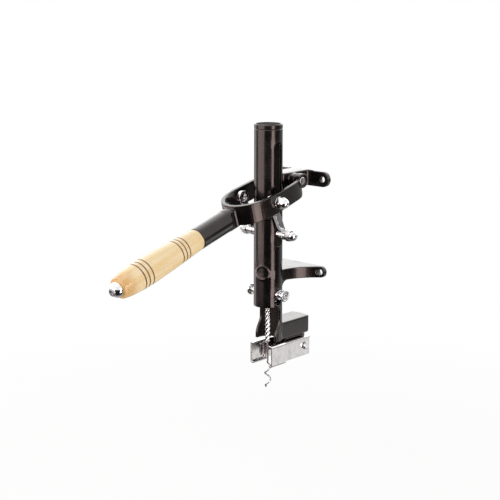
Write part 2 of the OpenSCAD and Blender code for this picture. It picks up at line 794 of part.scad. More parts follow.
body_casting();
top_cap();
lever_pivot_pin();
jaw_screw();
jaw_nut();
carrier();
spindle_bush();
cross_pin();
pin_spacers();
pin_washers();
pin_acorn_nuts();
left_link();
right_link();
lever_fork();
link_screws();
link_washers();
link_acorn_nuts();
handle_rod();
wood_grip();
end_cap();
end_screw();
spindle_head();
spindle();
worm();
nut_holder();
nut_ring();
drive_nut();
holder_spring();
left_thumb_screw();
right_thumb_screw();
left_jaw();
right_jaw();
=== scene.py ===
"""Dresses the counter mount corkscrew: black enamelled castings, plated steel, a lacquered
wooden grip, and a plain studio seen from the photograph's angle."""

from __future__ import annotations

import json
import logging
import math
from dataclasses import dataclass, field, replace
from enum import Enum
from typing import Any, Mapping, Sequence

import bmesh
import bpy
import numpy as np
from mathutils import Matrix, Vector

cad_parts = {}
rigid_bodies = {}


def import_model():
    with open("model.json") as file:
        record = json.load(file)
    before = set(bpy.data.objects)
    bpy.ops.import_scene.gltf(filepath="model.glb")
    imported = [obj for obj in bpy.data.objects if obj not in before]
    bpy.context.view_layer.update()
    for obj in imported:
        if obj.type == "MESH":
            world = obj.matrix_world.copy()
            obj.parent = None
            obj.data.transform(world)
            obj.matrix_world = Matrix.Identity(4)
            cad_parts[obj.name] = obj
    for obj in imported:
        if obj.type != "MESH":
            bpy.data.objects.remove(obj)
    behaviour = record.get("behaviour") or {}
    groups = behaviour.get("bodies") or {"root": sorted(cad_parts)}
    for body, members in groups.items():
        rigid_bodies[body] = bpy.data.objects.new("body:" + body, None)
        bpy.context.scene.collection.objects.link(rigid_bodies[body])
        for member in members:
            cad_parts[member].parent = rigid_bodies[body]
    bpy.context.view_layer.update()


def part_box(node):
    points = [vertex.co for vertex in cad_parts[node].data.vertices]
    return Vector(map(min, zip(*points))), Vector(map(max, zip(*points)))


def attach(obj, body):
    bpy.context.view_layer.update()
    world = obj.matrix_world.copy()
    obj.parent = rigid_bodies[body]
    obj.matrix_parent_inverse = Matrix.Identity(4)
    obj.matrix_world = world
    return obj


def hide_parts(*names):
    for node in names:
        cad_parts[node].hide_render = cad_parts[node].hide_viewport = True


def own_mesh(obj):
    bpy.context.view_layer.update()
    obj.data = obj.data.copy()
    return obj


log = logging.getLogger("corkscrew")

Point = tuple[float, float, float]
Pair = tuple[float, float]
Shell = tuple[np.ndarray, list[tuple[int, ...]]]
Socket = bpy.types.NodeSocket
Object = bpy.types.Object
Mesh = bpy.types.Mesh

MM = 0.001
TURN = 2 * math.pi
ALONG_X = Matrix.Rotation(math.pi / 2, 4, "Y")
WHITE: Point = (1.0, 1.0, 1.0)
WARM: Point = (1.0, 0.84, 0.8)

# A piece's triangles at most, the distance in metres within which points are merged, the angle past
# which an edge stays sharp, and the share of a profile's side that a rounding may take.
MAX_TRIANGLES = 190_000
DOUBLES = 2e-7
CAD_DOUBLES = 1e-6
SHARP_DEG = 35.0
ALL_SMOOTH_DEG = 180.0
MOST_OF_A_SIDE = 0.49

# Points round a turned form.
SMALL_ROUND = 64
MIDDLE_ROUND = 72
LARGE_ROUND = 96
GRIP_ROUND = 120

# The radius of the pins that nuts and washers sit on, in millimetres, the grooves as shares of the
# grip's length, and half the width of the burnt band in each, in millimetres.
PIN_R = 4.02
GROOVES = (0.2, 0.245, 0.29, 0.685, 0.735, 0.78)
SCORCH_HALF_W = 1.15


# ---------- Node graphs ----------


@dataclass(frozen=True)
class Grain:
    """One noise over a surface.

    Attributes:
        scale: Waves in a metre.
        detail: Octaves.
        roughness: Share of the finer octaves.
        low: Level at which its patches start.
        high: Level at which its patches are full.
        stretch: Scale of each axis.
        strength: Strength of its relief.
        height: Height of its relief, in metres.
    """

    scale: float
    detail: float = 2.0
    roughness: float = 0.5
    low: float = 0.0
    high: float = 1.0
    stretch: Point = (1.0, 1.0, 1.0)
    strength: float = 0.0
    height: float = 0.0


class Signal:
    """A number on a node's socket, whose operators add Math nodes."""

    def __init__(self, graph: Graph, socket: Socket) -> None:
        """Wraps one output socket of a graph."""
        self.graph = graph
        self.socket = socket

    def __add__(self, other: Signal | float) -> Signal:
        """Sum."""
        return self.graph.math("ADD", self, other)

    def __radd__(self, other: float) -> Signal:
        """Sum with a plain number on the left."""
        return self.graph.math("ADD", other, self)

    def __sub__(self, other: Signal | float) -> Signal:
        """Difference."""
        return self.graph.math("SUBTRACT", self, other)

    def __rsub__(self, other: float) -> Signal:
        """Difference from a plain number."""
        return self.graph.math("SUBTRACT", other, self)

    def __mul__(self, other: Signal | float) -> Signal:
        """Product."""
        return self.graph.math("MULTIPLY", self, other)

    def __rmul__(self, other: float) -> Signal:
        """Product with a plain number on the left."""
        return self.graph.math("MULTIPLY", other, self)

    def __truediv__(self, other: Signal | float) -> Signal:
        """Quotient."""
        return self.graph.math("DIVIDE", self, other)

    def clamp(self) -> Signal:
        """The same number kept between 0 and 1."""
        return Signal(self.graph, self.graph.node("ShaderNodeClamp", {"Value": self}).outputs[0])

    def step(self, low: float, high: float) -> Signal:
        """A smooth rise from 0 at low to 1 at high."""
        inputs = {"Value": self, "From Min": low, "From Max": high}
        node = self.graph.node("ShaderNodeMapRange", inputs, interpolation_type="SMOOTHSTEP")
        return Signal(self.graph, node.outputs[0])


def between(share: Signal, first: Any, second: Any) -> Signal:
    """The number that goes from the first to the second as the share goes from 0 to 1."""
    return first + share * (second - first)


class Graph:
    """Adds nodes to one tree, for a finish, the world or a rule of geometry."""

    def __init__(self, tree: bpy.types.NodeTree) -> None:
        """Wraps a node tree."""
        self.tree = tree

    @classmethod
    def fresh(cls, owner: bpy.types.Material | bpy.types.World) -> Graph:
        """The emptied graph of a material or a world."""
        owner.use_nodes = True
        owner.node_tree.nodes.clear()
        return cls(owner.node_tree)

    def feed(self, socket: Socket, value: Any) -> None:
        """Fills one input.

        Args:
            socket: The input.
            value: A signal or an output socket to link, or a plain value. A colour has three numbers.
        """
        if isinstance(value, Signal):
            value = value.socket
        if isinstance(value, Socket):
            self.tree.links.new(value, socket)
        elif socket.type == "RGBA":
            socket.default_value = (*value, 1.0)
        else:
            socket.default_value = value

    def node(self, kind: str, inputs: Mapping[Any, Any] | None = None, **settings: Any) -> bpy.types.Node:
        """Adds one node.

        Args:
            kind: The node's type.
            inputs: Values, signals or sockets for its inputs, by name or number.
            settings: Its own settings, which are set first.

        Returns:
            The new node.
        """
        node = self.tree.nodes.new(kind)
        for name, value in settings.items():
            setattr(node, name, value)
        for key, value in (inputs or {}).items():
            self.feed(node.inputs[key], value)
        return node

    def math(self, operation: str, *values: Any) -> Signal:
        """Adds a Math node on up to three values."""
        node = self.node("ShaderNodeMath", dict(enumerate(values)), operation=operation)
        return Signal(self, node.outputs[0])

    def vector(self, operation: str, *values: Any) -> Socket:
        """Adds a Vector Math node and gives its vector."""
        node = self.node("ShaderNodeVectorMath", dict(enumerate(values)), operation=operation)
        return node.outputs["Vector"]

    def measure(self, operation: str, *values: Any) -> Signal:
        """Adds a Vector Math node whose result is one number."""
        node = self.node("ShaderNodeVectorMath", dict(enumerate(values)), operation=operation)
        return Signal(self, node.outputs["Value"])

    def blend(self, share: Any, first: Any, second: Any) -> Socket:
        """Mixes two colours by a share, and gives the mixed colour."""
        return self.node("ShaderNodeMix", {0: share, 6: first, 7: second}, data_type="RGBA").outputs[2]

    def noise(self, place: Socket, grain: Grain) -> Signal:
        """Adds a noise.

        Args:
            place: Coordinates, in metres.
            grain: The noise's sizes.

        Returns:
            Its level.
        """
        inputs = {
            "Vector": self.vector("MULTIPLY", place, grain.stretch), "Scale": grain.scale,
            "Detail": grain.detail, "Roughness": grain.roughness}
        return Signal(self, self.node("ShaderNodeTexNoise", inputs).outputs[0])

    def patches(self, place: Socket, grain: Grain) -> Signal:
        """Adds a noise that shows as patches, between the grain's two levels."""
        return self.noise(place, grain).step(grain.low, grain.high)

    def relief(self, height: Signal, grain: Grain, under: Socket | None = None) -> Socket:
        """Adds a Bump node.

        Args:
            height: The noise that it raises.
            grain: Says how far.
            under: The relief that this one lies on, if any.

        Returns:
            The bent normal.
        """
        inputs = {"Strength": grain.strength, "Distance": grain.height, "Height": height}
        if under is not None:
            inputs["Normal"] = under
        return self.node("ShaderNodeBump", inputs).outputs[0]


# ---------- Finishes ----------


class Finish:
    """One finish. Subclasses say what the surface is like."""

    def surface(self, graph: Graph, place: Socket) -> dict[str, Any]:
        """Adds the finish's own nodes.

        Args:
            graph: The material's graph.
            place: The object's coordinates, in metres.

        Returns:
            What goes into the Principled shader's inputs.
        """
        raise NotImplementedError

    def make(self, name: str) -> bpy.types.Material:
        """Builds the material.

        Args:
            name: Its name.

        Returns:
            The material.
        """
        material = bpy.data.materials.new(name)
        graph = Graph.fresh(material)
        place = graph.node("ShaderNodeTexCoord").outputs["Object"]
        shader = graph.node("ShaderNodeBsdfPrincipled", self.surface(graph, place))
        graph.node("ShaderNodeOutputMaterial", {"Surface": shader.outputs[0]})
        return material


@dataclass(frozen=True)
class Enamel(Finish):
    """Thick glossy enamel over an iron casting, with the casting's slow waves under it."""

    tint: Point = (0.002, 0.0018, 0.0018)
    dusty: Point = (0.0055, 0.0045, 0.0042)
    iron: Point = (0.008, 0.0075, 0.007)
    sheen: Point = (1.0, 0.86, 0.82)
    gloss: float = 0.19
    dust_rough: float = 0.08
    peel_rough: float = 0.05
    bare_rough: float = 0.5
    coat: float = 0.4
    coat_rough: float = 0.12
    speck_share: float = 0.5
    waves: Grain = Grain(95.0, 1.0, strength=0.35, height=0.00022)
    peel: Grain = Grain(620.0, strength=0.25, height=0.00002)
    dust: Grain = Grain(38.0, 3.0, low=0.42, high=0.68)
    specks: Grain = Grain(900.0, 1.0, low=0.78, high=0.84)

    def surface(self, graph: Graph, place: Socket) -> dict[str, Any]:
        """Waves, orange peel, bare iron and a slightly uneven gloss."""
        dust = graph.patches(place, self.dust)
        peel = graph.noise(place, self.peel)
        bare = self.bare_share(graph, place)
        waves = graph.relief(graph.noise(place, self.waves), self.waves)
        gloss = self.gloss + self.dust_rough * dust + self.peel_rough * peel
        return {
            "Base Color": graph.blend(bare, graph.blend(dust, self.tint, self.dusty), self.iron),
            "Roughness": self.bare_rough * bare + gloss,
            "Coat Weight": self.coat * (1.0 - bare),
            "Coat Roughness": self.coat_rough,
            "Specular Tint": self.sheen,
            "Normal": graph.relief(peel, self.peel, waves),
        }

    def bare_share(self, graph: Graph, place: Socket) -> Signal:
        """The share of bare iron, a few specks where the enamel is thin."""
        return self.speck_share * graph.patches(place, self.specks)


@dataclass(frozen=True)
class BoredEnamel(Enamel):
    """The enamel of the barrel, whose bore is bare iron."""

    axis: Point = (0.0, 0.0, 0.0)
    bare_to: float = 0.0136
    enamel_from: float = 0.0141

    def bare_share(self, graph: Graph, place: Socket) -> Signal:
        """The share of bare iron, which is 1 inside the bore."""
        level = graph.vector("MULTIPLY", graph.vector("SUBTRACT", place, self.axis), (1.0, 1.0, 0.0))
        return 1.0 - graph.measure("LENGTH", level).step(self.bare_to, self.enamel_from)


@dataclass(frozen=True)
class Skin(Finish):
    """A plain surface: two tints in patches, an uneven roughness and a fine relief.

    Attributes:
        first: Tint between the patches.
        second: Tint of the patches.
        patches: Noise of the patches.
        marks: Noise of the marks in the roughness.
        relief: Noise of the relief.
        rough: Roughness without patches and marks.
        patch_rough: What the patches add to it.
        mark_rough: What the marks add to it.
        metal: 1 for metal, 0 for anything else.
        shine: Level of the mirrored light where it isn't metal.
    """

    first: Point
    second: Point
    patches: Grain
    marks: Grain
    relief: Grain
    rough: float
    patch_rough: float = 0.0
    mark_rough: float = 0.0
    metal: float = 1.0
    shine: float = 0.5

    def surface(self, graph: Graph, place: Socket) -> dict[str, Any]:
        """Patches, marks and relief."""
        patches = graph.patches(place, self.patches)
        marks = graph.noise(place, self.marks)
        return {
            "Base Color": graph.blend(patches, self.first, self.second),
            "Roughness": self.rough + self.patch_rough * patches + self.mark_rough * marks,
            "Metallic": self.metal,
            "Specular IOR Level": self.shine,
            "Normal": graph.relief(graph.noise(place, self.relief), self.relief),
        }


# Flat black phosphate with worn patches, which hardly shines.
CAST_GRAIN = Grain(1400.0, strength=0.4, height=0.00008)
BLACKED = Skin(
    (0.012, 0.011, 0.0105), (0.035, 0.032, 0.03), patches=Grain(260.0, 4.0, 0.6, low=0.5, high=0.8),
    marks=CAST_GRAIN, relief=CAST_GRAIN, rough=0.7, mark_rough=0.15, metal=0.0, shine=0.06)

# Polished nickel chrome plate with cloudy wear, polishing marks and a slightly uneven skin.
PLATE = Skin(
    (0.86, 0.86, 0.875), (0.66, 0.655, 0.66), patches=Grain(130.0, 4.0, 0.6, low=0.38, high=0.72),
    marks=Grain(3200.0, stretch=(1.0, 0.12, 1.0)), relief=Grain(210.0, 1.0, strength=0.22, height=0.0001),
    rough=0.07, patch_rough=0.09, mark_rough=0.04)

# Bare steel with oily patches and the fine rings that a lathe leaves.
TOOL_RINGS = Grain(2600.0, stretch=(0.05, 0.05, 1.0), strength=0.2, height=0.00003)
STEEL = Skin(
    (0.55, 0.55, 0.56), (0.32, 0.315, 0.31), patches=Grain(90.0, 4.0, 0.6, low=0.4, high=0.7),
    marks=TOOL_RINGS, relief=TOOL_RINGS, rough=0.27, mark_rough=0.12)

# Brownish moulded rubber, matt, with chalky patches and a fine pebble.
PEBBLE = Grain(1800.0, 1.0, strength=0.3, height=0.00005)
RUBBER = Skin(
    (0.16, 0.115, 0.105), (0.26, 0.2, 0.185), patches=Grain(420.0, 3.0, low=0.4, high=0.7),
    marks=PEBBLE, relief=PEBBLE, rough=0.5, patch_rough=0.15, metal=0.0)


@dataclass(frozen=True)
class LacqueredWood(Finish):
    """Pale turned wood under clear lacquer, with burnt grooves and a darker end."""

    start: Point
    axis: Point
    length: float
    scorch_half_w: float
    pale: Point = (0.83, 0.68, 0.42)
    honey: Point = (0.74, 0.53, 0.22)
    vein: Point = (0.56, 0.35, 0.16)
    burnt: Point = (0.085, 0.03, 0.013)
    end_grain: Point = (0.60, 0.34, 0.10)
    drawn_out: float = 0.045
    bands: Grain = Grain(170.0, 3.0, 0.55, low=0.32, high=0.72)
    veins: Grain = Grain(520.0, low=0.56, high=0.74)
    pores: Grain = Grain(1500.0, 2.0, 0.6, low=0.55, high=0.8, strength=0.12, height=0.00006)
    band_share: float = 0.8
    vein_share: float = 0.3
    pore_share: float = 0.25
    # Painted shade: a honey tint all round the grip near the socket, standing in for the shade on its
    # shoulder there.
    root_shade_share: float = 0.3
    root_shade_reach: Pair = (0.0, 0.14)
    tip_share: float = 0.85
    tip_reach: Pair = (0.82, 0.98)
    scorch_share: float = 0.92
    scorch_core: float = 0.45
    gloss: float = 0.3
    pore_rough: float = 0.12
    burnt_rough: float = 0.2
    coat: float = 0.6
    coat_rough: float = 0.1

    def surface(self, graph: Graph, place: Socket) -> dict[str, Any]:
        """Grain along the grip, painted shade near the socket, the burnt grooves and the end grain."""
        offset = graph.vector("SUBTRACT", place, self.start)
        along = graph.measure("DOT_PRODUCT", offset, self.axis) / self.length
        grain = graph.node("ShaderNodeCombineXYZ", {
            "X": graph.measure("DOT_PRODUCT", offset, (1.0, 0.0, 0.0)),
            "Y": self.drawn_out * self.length * along,
            "Z": graph.measure("DOT_PRODUCT", offset, (0.0, -self.axis[2], self.axis[1])),
        }).outputs[0]
        pores = graph.noise(grain, self.pores)
        scorch = self._scorch(graph, along)
        colour: Any = self.pale
        for share, tint in (
            (self.band_share * graph.patches(grain, self.bands), self.honey),
            (self.vein_share * graph.patches(grain, self.veins), self.vein),
            (self.pore_share * pores.step(self.pores.low, self.pores.high), self.vein),
            # Painted shade: honey towards the socket.
            (self.root_shade_share * (1.0 - along.step(*self.root_shade_reach)), self.honey),
            (self.tip_share * along.step(*self.tip_reach), self.end_grain),
            (scorch, self.burnt),
        ):
            colour = graph.blend(share, colour, tint)
        return {
            "Base Color": colour,
            "Roughness": self.gloss + self.pore_rough * pores + self.burnt_rough * scorch,
            "Coat Weight": self.coat,
            "Coat Roughness": self.coat_rough,
            "Normal": graph.relief(pores, self.pores),
        }

    def _scorch(self, graph: Graph, along: Signal) -> Signal:
        """The share of burnt brown, which is nearly 1 in each groove.

        Args:
            graph: The material's graph.
            along: The place along the grip, from 0 to 1.

        Returns:
            The share.
        """
        core = self.scorch_core * self.scorch_half_w
        away = [graph.math("ABSOLUTE", along - groove) for groove in GROOVES]
        rings = [1.0 - distance.step(core, self.scorch_half_w) for distance in away]
        return (self.scorch_share * sum(rings[1:], rings[0])).clamp()


class Look(Enum):
    """The finishes that pieces can ask for."""

    ENAMEL = "black_enamel"
    BARREL = "barrel_enamel"
    BLACKED = "blacked_iron"
    PLATE = "bright_plate"
    SATIN = "satin_plate"
    STEEL = "turned_steel"
    BRASS = "turned_brass"
    RUBBER = "jaw_rubber"
    WOOD = "grip_wood"


# ---------- Places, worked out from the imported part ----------


def node_points(name: str) -> np.ndarray:
    """The corners of a CAD node at rest.

    Args:
        name: The node.

    Returns:
        Points in metres, one row each.
    """
    mesh = bpy.data.objects[name].data
    flat = np.zeros(len(mesh.vertices) * 3, np.float32)
    mesh.vertices.foreach_get("co", flat)
    return flat.reshape(-1, 3).astype(float)


def centre_of(name: str) -> Vector:
    """The middle of a CAD node's box."""
    low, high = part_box(name)
    return (low + high) / 2


@dataclass(frozen=True)
class Places:
    """The frames that pieces are made in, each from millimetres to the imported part's metres."""

    barrel: Matrix
    pivot: Matrix
    cross_pin: Matrix
    link_pin: Matrix
    grip: Matrix
    grip_len: float

    @staticmethod
    def at(point: Vector) -> Matrix:
        """A frame with its origin at a point and millimetres for units."""
        return Matrix.Translation(point) @ Matrix.Scale(MM, 4)

    @classmethod
    def find(cls, droop_deg: float = 14.0, grip_tilt_deg: float = 2.67) -> Places:
        """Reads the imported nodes' boxes.

        Args:
            droop_deg: Angle of the ring below the horizontal.
            grip_tilt_deg: Further angle of the grip.

        Returns:
            The frames.
        """
        low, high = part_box("top_cap")
        top = Vector(((low.x + high.x) / 2, (low.y + high.y) / 2, high.z))
        slope = math.radians(droop_deg + grip_tilt_deg)
        turn = Matrix.Rotation(slope, 3, "X")
        local = node_points("wood_grip") @ np.array(turn)
        root = turn @ Vector((0.0, local[:, 1].max(), (local[:, 2].min() + local[:, 2].max()) / 2))
        outward = Matrix.Rotation(slope, 4, "X") @ Matrix.Rotation(math.pi / 2, 4, "X")
        return cls(
            barrel=cls.at(top),
            pivot=cls.at(centre_of("lever_pivot_pin")),
            cross_pin=cls.at(centre_of("cross_pin")),
            link_pin=cls.at(centre_of("link_screws")),
            grip=cls.at(root) @ outward,
            grip_len=float(local[:, 1].max() - local[:, 1].min()) / MM,
        )

    def down(self, drop: float) -> Matrix:
        """The barrel's frame, lowered by a number of millimetres."""
        return self.barrel @ Matrix.Translation((0, 0, -drop))


# ---------- Meshes ----------


def soften(corners: Sequence[Point], steps: int = 5) -> list[Pair]:
    """Rounds the corners of a profile.

    Args:
        corners: Radius, distance along the axis, and how far the rounding reaches.
        steps: Segments in each rounding.

    Returns:
        The rounded profile's points.
    """
    made: list[Pair] = []
    last = len(corners) - 1
    for i, (radius, along, reach) in enumerate(corners):
        if reach <= 0 or i in (0, last):
            made.append((radius, along))
            continue
        here = np.array((radius, along))
        back = np.array(corners[i - 1][:2]) - here
        ahead = np.array(corners[i + 1][:2]) - here
        sizes = np.linalg.norm(back), np.linalg.norm(ahead)
        cut = min(reach, MOST_OF_A_SIDE * min(sizes))
        start = here + back / sizes[0] * cut
        end = here + ahead / sizes[1] * cut
        for t in np.linspace(0, 1, steps + 1):
            point = (1 - t) ** 2 * start + 2 * t * (1 - t) * here + t * t * end
            made.append((float(point[0]), float(point[1])))
    return made


def ring(radius: Any, height: Any, angles: np.ndarray) -> np.ndarray:
    """Points about Z, one for each angle, with one radius and height or one for each angle."""
    level = np.broadcast_to(height, angles.shape)
    return np.stack([radius * np.cos(angles), radius * np.sin(angles), level], axis=1)


def join_rings(rings: Sequence[np.ndarray], closed: bool = False) -> Shell:
    """Joins rings of points by faces.

    Args:
        rings: The rings in order. One point alone is a pole.
        closed: True where the last ring is joined to the first.

    Returns:
        The points, and the faces.
    """
    starts = np.cumsum([0] + [len(r) for r in rings])
    faces: list[tuple[int, ...]] = []
    for i in range(len(rings) if closed else len(rings) - 1):
        j = (i + 1) % len(rings)
        for k in range(max(len(rings[i]), len(rings[j]))):
            a = starts[i] + k % len(rings[i])
            b = starts[i] + (k + 1) % len(rings[i])
            c = starts[j] + (k + 1) % len(rings[j])
            d = starts[j] + k % len(rings[j])
            corners = tuple(dict.fromkeys(int(v) for v in (a, b, c, d)))
            if len(corners) > 2:
                faces.append(corners)
    return np.concatenate(rings), faces


def turned(profile: Sequence[Pair], segments: int, closed: bool = False) -> Shell:
    """A turned form about Z.

    Args:
        profile: Radius and height of each point, in millimetres. A point with no radius is a pole.
        segments: Points round each ring.
        closed: True where the profile is a loop, as on a washer.

    Returns:
        Points in millimetres, and faces.
    """
    angles = np.linspace(0, TURN, segments, endpoint=False)
    return join_rings([ring(r, h, angles if r else angles[:1]) for r, h in profile], closed)


def washer(inner: float, outer: float, start: float, end: float, ease: float = 0.3) -> Shell:
    """A ring about Z with eased outer edges."""
    corners = [(inner, start, 0.0), (outer, start, ease), (outer, end, ease), (inner, end, 0.0)]
    return turned(soften(corners), SMALL_ROUND, closed=True)


def shell_mesh(name: str, shell: Shell, place: Matrix) -> Mesh:
    """A mesh of a shell, moved into its place.

    Args:
        name: Name of the mesh.
        shell: Points and faces.
        place: Frame of the points.

    Returns:
        The mesh.
    """
    mesh = bpy.data.meshes.new(name)
    mesh.from_pydata([tuple(p) for p in shell[0]], [], shell[1])
    mesh.transform(place)
    return mesh


def linked(name: str, data: bpy.types.ID) -> Object:
    """A new object in the scene, at the origin."""
    obj = bpy.data.objects.new(name, data)
    bpy.context.scene.collection.objects.link(obj)
    return obj


def settle(name: str, mesh: Mesh, sharp_deg: float = SHARP_DEG) -> Object:
    """Merges a mesh's doubles, turns its faces outwards and smooths it.

    Args:
        name: Name of the piece.
        mesh: Its mesh, in place.
        sharp_deg: Edges sharper than this stay sharp.

    Returns:
        The new object, at the origin.
    """
    work = bmesh.new()
    work.from_mesh(mesh)
    bmesh.ops.remove_doubles(work, verts=work.verts, dist=DOUBLES)
    bmesh.ops.recalc_face_normals(work, faces=work.faces)
    work.to_mesh(mesh)
    work.free()
    mesh.shade_smooth()
    mesh.set_sharp_from_angle(angle=math.radians(sharp_deg))
    return linked(name, mesh)


def evaluated_mesh(obj: Object) -> Mesh:
    """A plain mesh of what an object's modifiers make.

    Args:
        obj: The object, which is removed.

    Returns:
        The mesh.
    """
    bpy.context.view_layer.update()
    graph = bpy.context.evaluated_depsgraph_get()
    mesh = bpy.data.meshes.new_from_object(obj.evaluated_get(graph), depsgraph=graph)
    bpy.data.objects.remove(obj)
    return mesh


def thinned(name: str, mesh: Mesh) -> Mesh:
    """A mesh with its flattest faces merged, where it has more than a piece should have.

    Args:
        name: Name of the piece.
        mesh: The mesh.

    Returns:
        The same mesh, or the thinner one.
    """
    triangles = sum(len(face.vertices) - 2 for face in mesh.polygons)
    if triangles <= MAX_TRIANGLES:
        return mesh
    obj = linked(name, mesh)
    obj.modifiers.new("thin", "DECIMATE").ratio = MAX_TRIANGLES / triangles
    return evaluated_mesh(obj)


@dataclass(frozen=True)
class Easing:
    """How a CAD node's edges are eased.

    Attributes:
        cell: Size of the new mesh's faces, in millimetres.
        rounds: How often the mesh is smoothed.
        factor: How far each time.
    """

    cell: float
    rounds: int
    factor: float = 0.5

    def copy(self, name: str, node: str) -> Object:
        """A copy of a CAD node with every edge eased, as in a casting or a pressing.

        Args:
            name: Name of the piece.
            node: The CAD node.

        Returns:
            The new object, at the origin.
        """
        source = bpy.data.objects[node].data.copy()
        work = bmesh.new()
        work.from_mesh(source)
        bmesh.ops.remove_doubles(work, verts=work.verts, dist=CAD_DOUBLES)
        work.to_mesh(source)
        work.free()
        obj = linked(name, source)
        remesh = obj.modifiers.new("cells", "REMESH")
        remesh.mode = "VOXEL"
        remesh.voxel_size = self.cell * MM
        smooth = obj.modifiers.new("eased", "SMOOTH")
        smooth.factor = self.factor
        smooth.iterations = self.rounds
        return settle(name, thinned(name, evaluated_mesh(obj)), ALL_SMOOTH_DEG)


# ---------- Rules made with Geometry Nodes ----------


class Rule:
    """One Geometry Nodes tree with named inputs, run once for each piece."""

    def __init__(self, name: str) -> None:
        """Makes the tree with its way in and out.

        Args:
            name: Name of the tree.
        """
        self.tree = bpy.data.node_groups.new(name, "GeometryNodeTree")
        self.graph = Graph(self.tree)
        for way in ("INPUT", "OUTPUT"):
            self.tree.interface.new_socket("Geometry", in_out=way, socket_type="NodeSocketGeometry")
        self.entry = self.graph.node("NodeGroupInput")
        self.exit = self.graph.node("NodeGroupOutput")
        self.ids: dict[str, str] = {}

    def take(self, name: str, kind: str) -> Signal:
        """Adds a named input and gives what it carries."""
        made = self.tree.interface.new_socket(name, in_out="INPUT", socket_type=f"NodeSocket{kind}")
        self.ids[name] = made.identifier
        return Signal(self.graph, self.entry.outputs[name])

    def sweep(self, curve: bpy.types.Node, section: bpy.types.Node) -> Socket:
        """The geometry of a section swept along a curve, with closed ends."""
        inputs = {"Curve": curve.outputs[0], "Profile Curve": section.outputs[0], "Fill Caps": True}
        return self.graph.node("GeometryNodeCurveToMesh", inputs).outputs[0]

    def close(self, geometry: Socket) -> None:
        """Ends the tree in real geometry with its material.

        Args:
            geometry: What the tree has made.
        """
        real = self.graph.node("GeometryNodeRealizeInstances", {"Geometry": geometry})
        inputs = {"Geometry": real.outputs[0], "Material": self.take("Finish", "Material")}
        dressed = self.graph.node("GeometryNodeSetMaterial", inputs)
        self.graph.feed(self.exit.inputs[0], dressed.outputs[0])

    def run(self, name: str, source: Mesh, values: Mapping[str, Any], place: Matrix) -> Object:
        """Runs the tree on a mesh.

        Args:
            name: Name of the piece.
            source: What the tree starts from.
            values: Its named inputs.
            place: Frame that the result is put in.

        Returns:
            A plain mesh object at the origin.
        """
        holder = linked(name, source)
        modifier = holder.modifiers.new("rule", "NODES")
        modifier.node_group = self.tree
        for key, value in values.items():
            modifier[self.ids[key]] = value
        mesh = evaluated_mesh(holder)
        mesh.transform(place)
        return settle(name, mesh)


class WireRule(Rule):
    """Round wire along a path of points that carry their own thickness."""

    def __init__(self) -> None:
        """Builds the tree."""
        super().__init__("wire_along_path")
        node = self.graph.node
        curve = node("GeometryNodeMeshToCurve", {0: self.entry.outputs[0]})
        thickness = node("GeometryNodeInputNamedAttribute", {"Name": "thickness"}, data_type="FLOAT")
        inputs = {"Curve": curve.outputs[0], "Radius": thickness.outputs[0]}
        sized = node("GeometryNodeSetCurveRadius", inputs)
        inputs = {"Resolution": self.take("Sides", "Int"), "Radius": 1.0}
        section = node("GeometryNodeCurvePrimitiveCircle", inputs)
        self.close(self.sweep(sized, section))


class TwistRule(Rule):
    """A bar with round ridges that wind about it."""

    section_points: int = 60

    def __init__(self) -> None:
        """Builds the tree."""
        super().__init__("twisted_bar")
        length = self.take("Length", "Float")
        turns = self.take("Turns", "Float")
        ridges = self.take("Ridges", "Int")
        crest = self.take("Crest radius", "Float")
        depth = self.take("Depth", "Float")
        graph, node = self.graph, self.graph.node
        far = node("ShaderNodeCombineXYZ", {"Z": length * -1.0})
        line = node("GeometryNodeCurvePrimitiveLine", {"End": far.outputs[0]})
        inputs = {"Curve": line.outputs[0], "Count": self.take("Rings", "Int")}
        dense = node("GeometryNodeResampleCurve", inputs)
        inputs = {"Curve": dense.outputs[0], "Tilt": self._share() * turns * TURN}
        wound = node("GeometryNodeSetCurveTilt", inputs)
        inputs = {"Resolution": self.section_points, "Radius": 1.0}
        circle = node("GeometryNodeCurvePrimitiveCircle", inputs)
        swing = graph.math("COSINE", self._share() * TURN * ridges)
        radius = crest - (1.0 - swing) * 0.5 * depth
        position = node("GeometryNodeInputPosition").outputs[0]
        scaled = node("ShaderNodeVectorMath", {0: position, "Scale": radius}, operation="SCALE")
        inputs = {"Geometry": circle.outputs[0], "Position": scaled.outputs[0]}
        section = node("GeometryNodeSetPosition", inputs)
        self.close(self.sweep(wound, section))

    def _share(self) -> Signal:
        """How far along its curve a point is, from 0 to 1."""
        return Signal(self.graph, self.graph.node("GeometryNodeSplineParameter").outputs["Factor"])


class PairRule(Rule):
    """Two of one piece, the second turned half round about the barrel's axis."""

    def __init__(self) -> None:
        """Builds the tree."""
        super().__init__("pair_about_barrel")
        node = self.graph.node
        points = node("GeometryNodePoints", {"Count": self.take("Count", "Int")})
        index = Signal(self.graph, node("GeometryNodeInputIndex").outputs[0])
        turn = node("ShaderNodeCombineXYZ", {"Z": index * math.pi})
        placed = node("GeometryNodeInstanceOnPoints", {
            "Points": points.outputs[0], "Instance": self.entry.outputs[0], "Rotation": turn.outputs[0]})
        self.close(placed.outputs[0])



@dataclass(frozen=True)
class Role:
    """What a piece is for.

    Attributes:
        look: Its finish.
        body: The CAD body that it moves with.
        node: Its CAD node.
        whole: True where it stands for that node, False where it only adds to it.
    """

    look: Look
    body: str
    node: str
    whole: bool = True


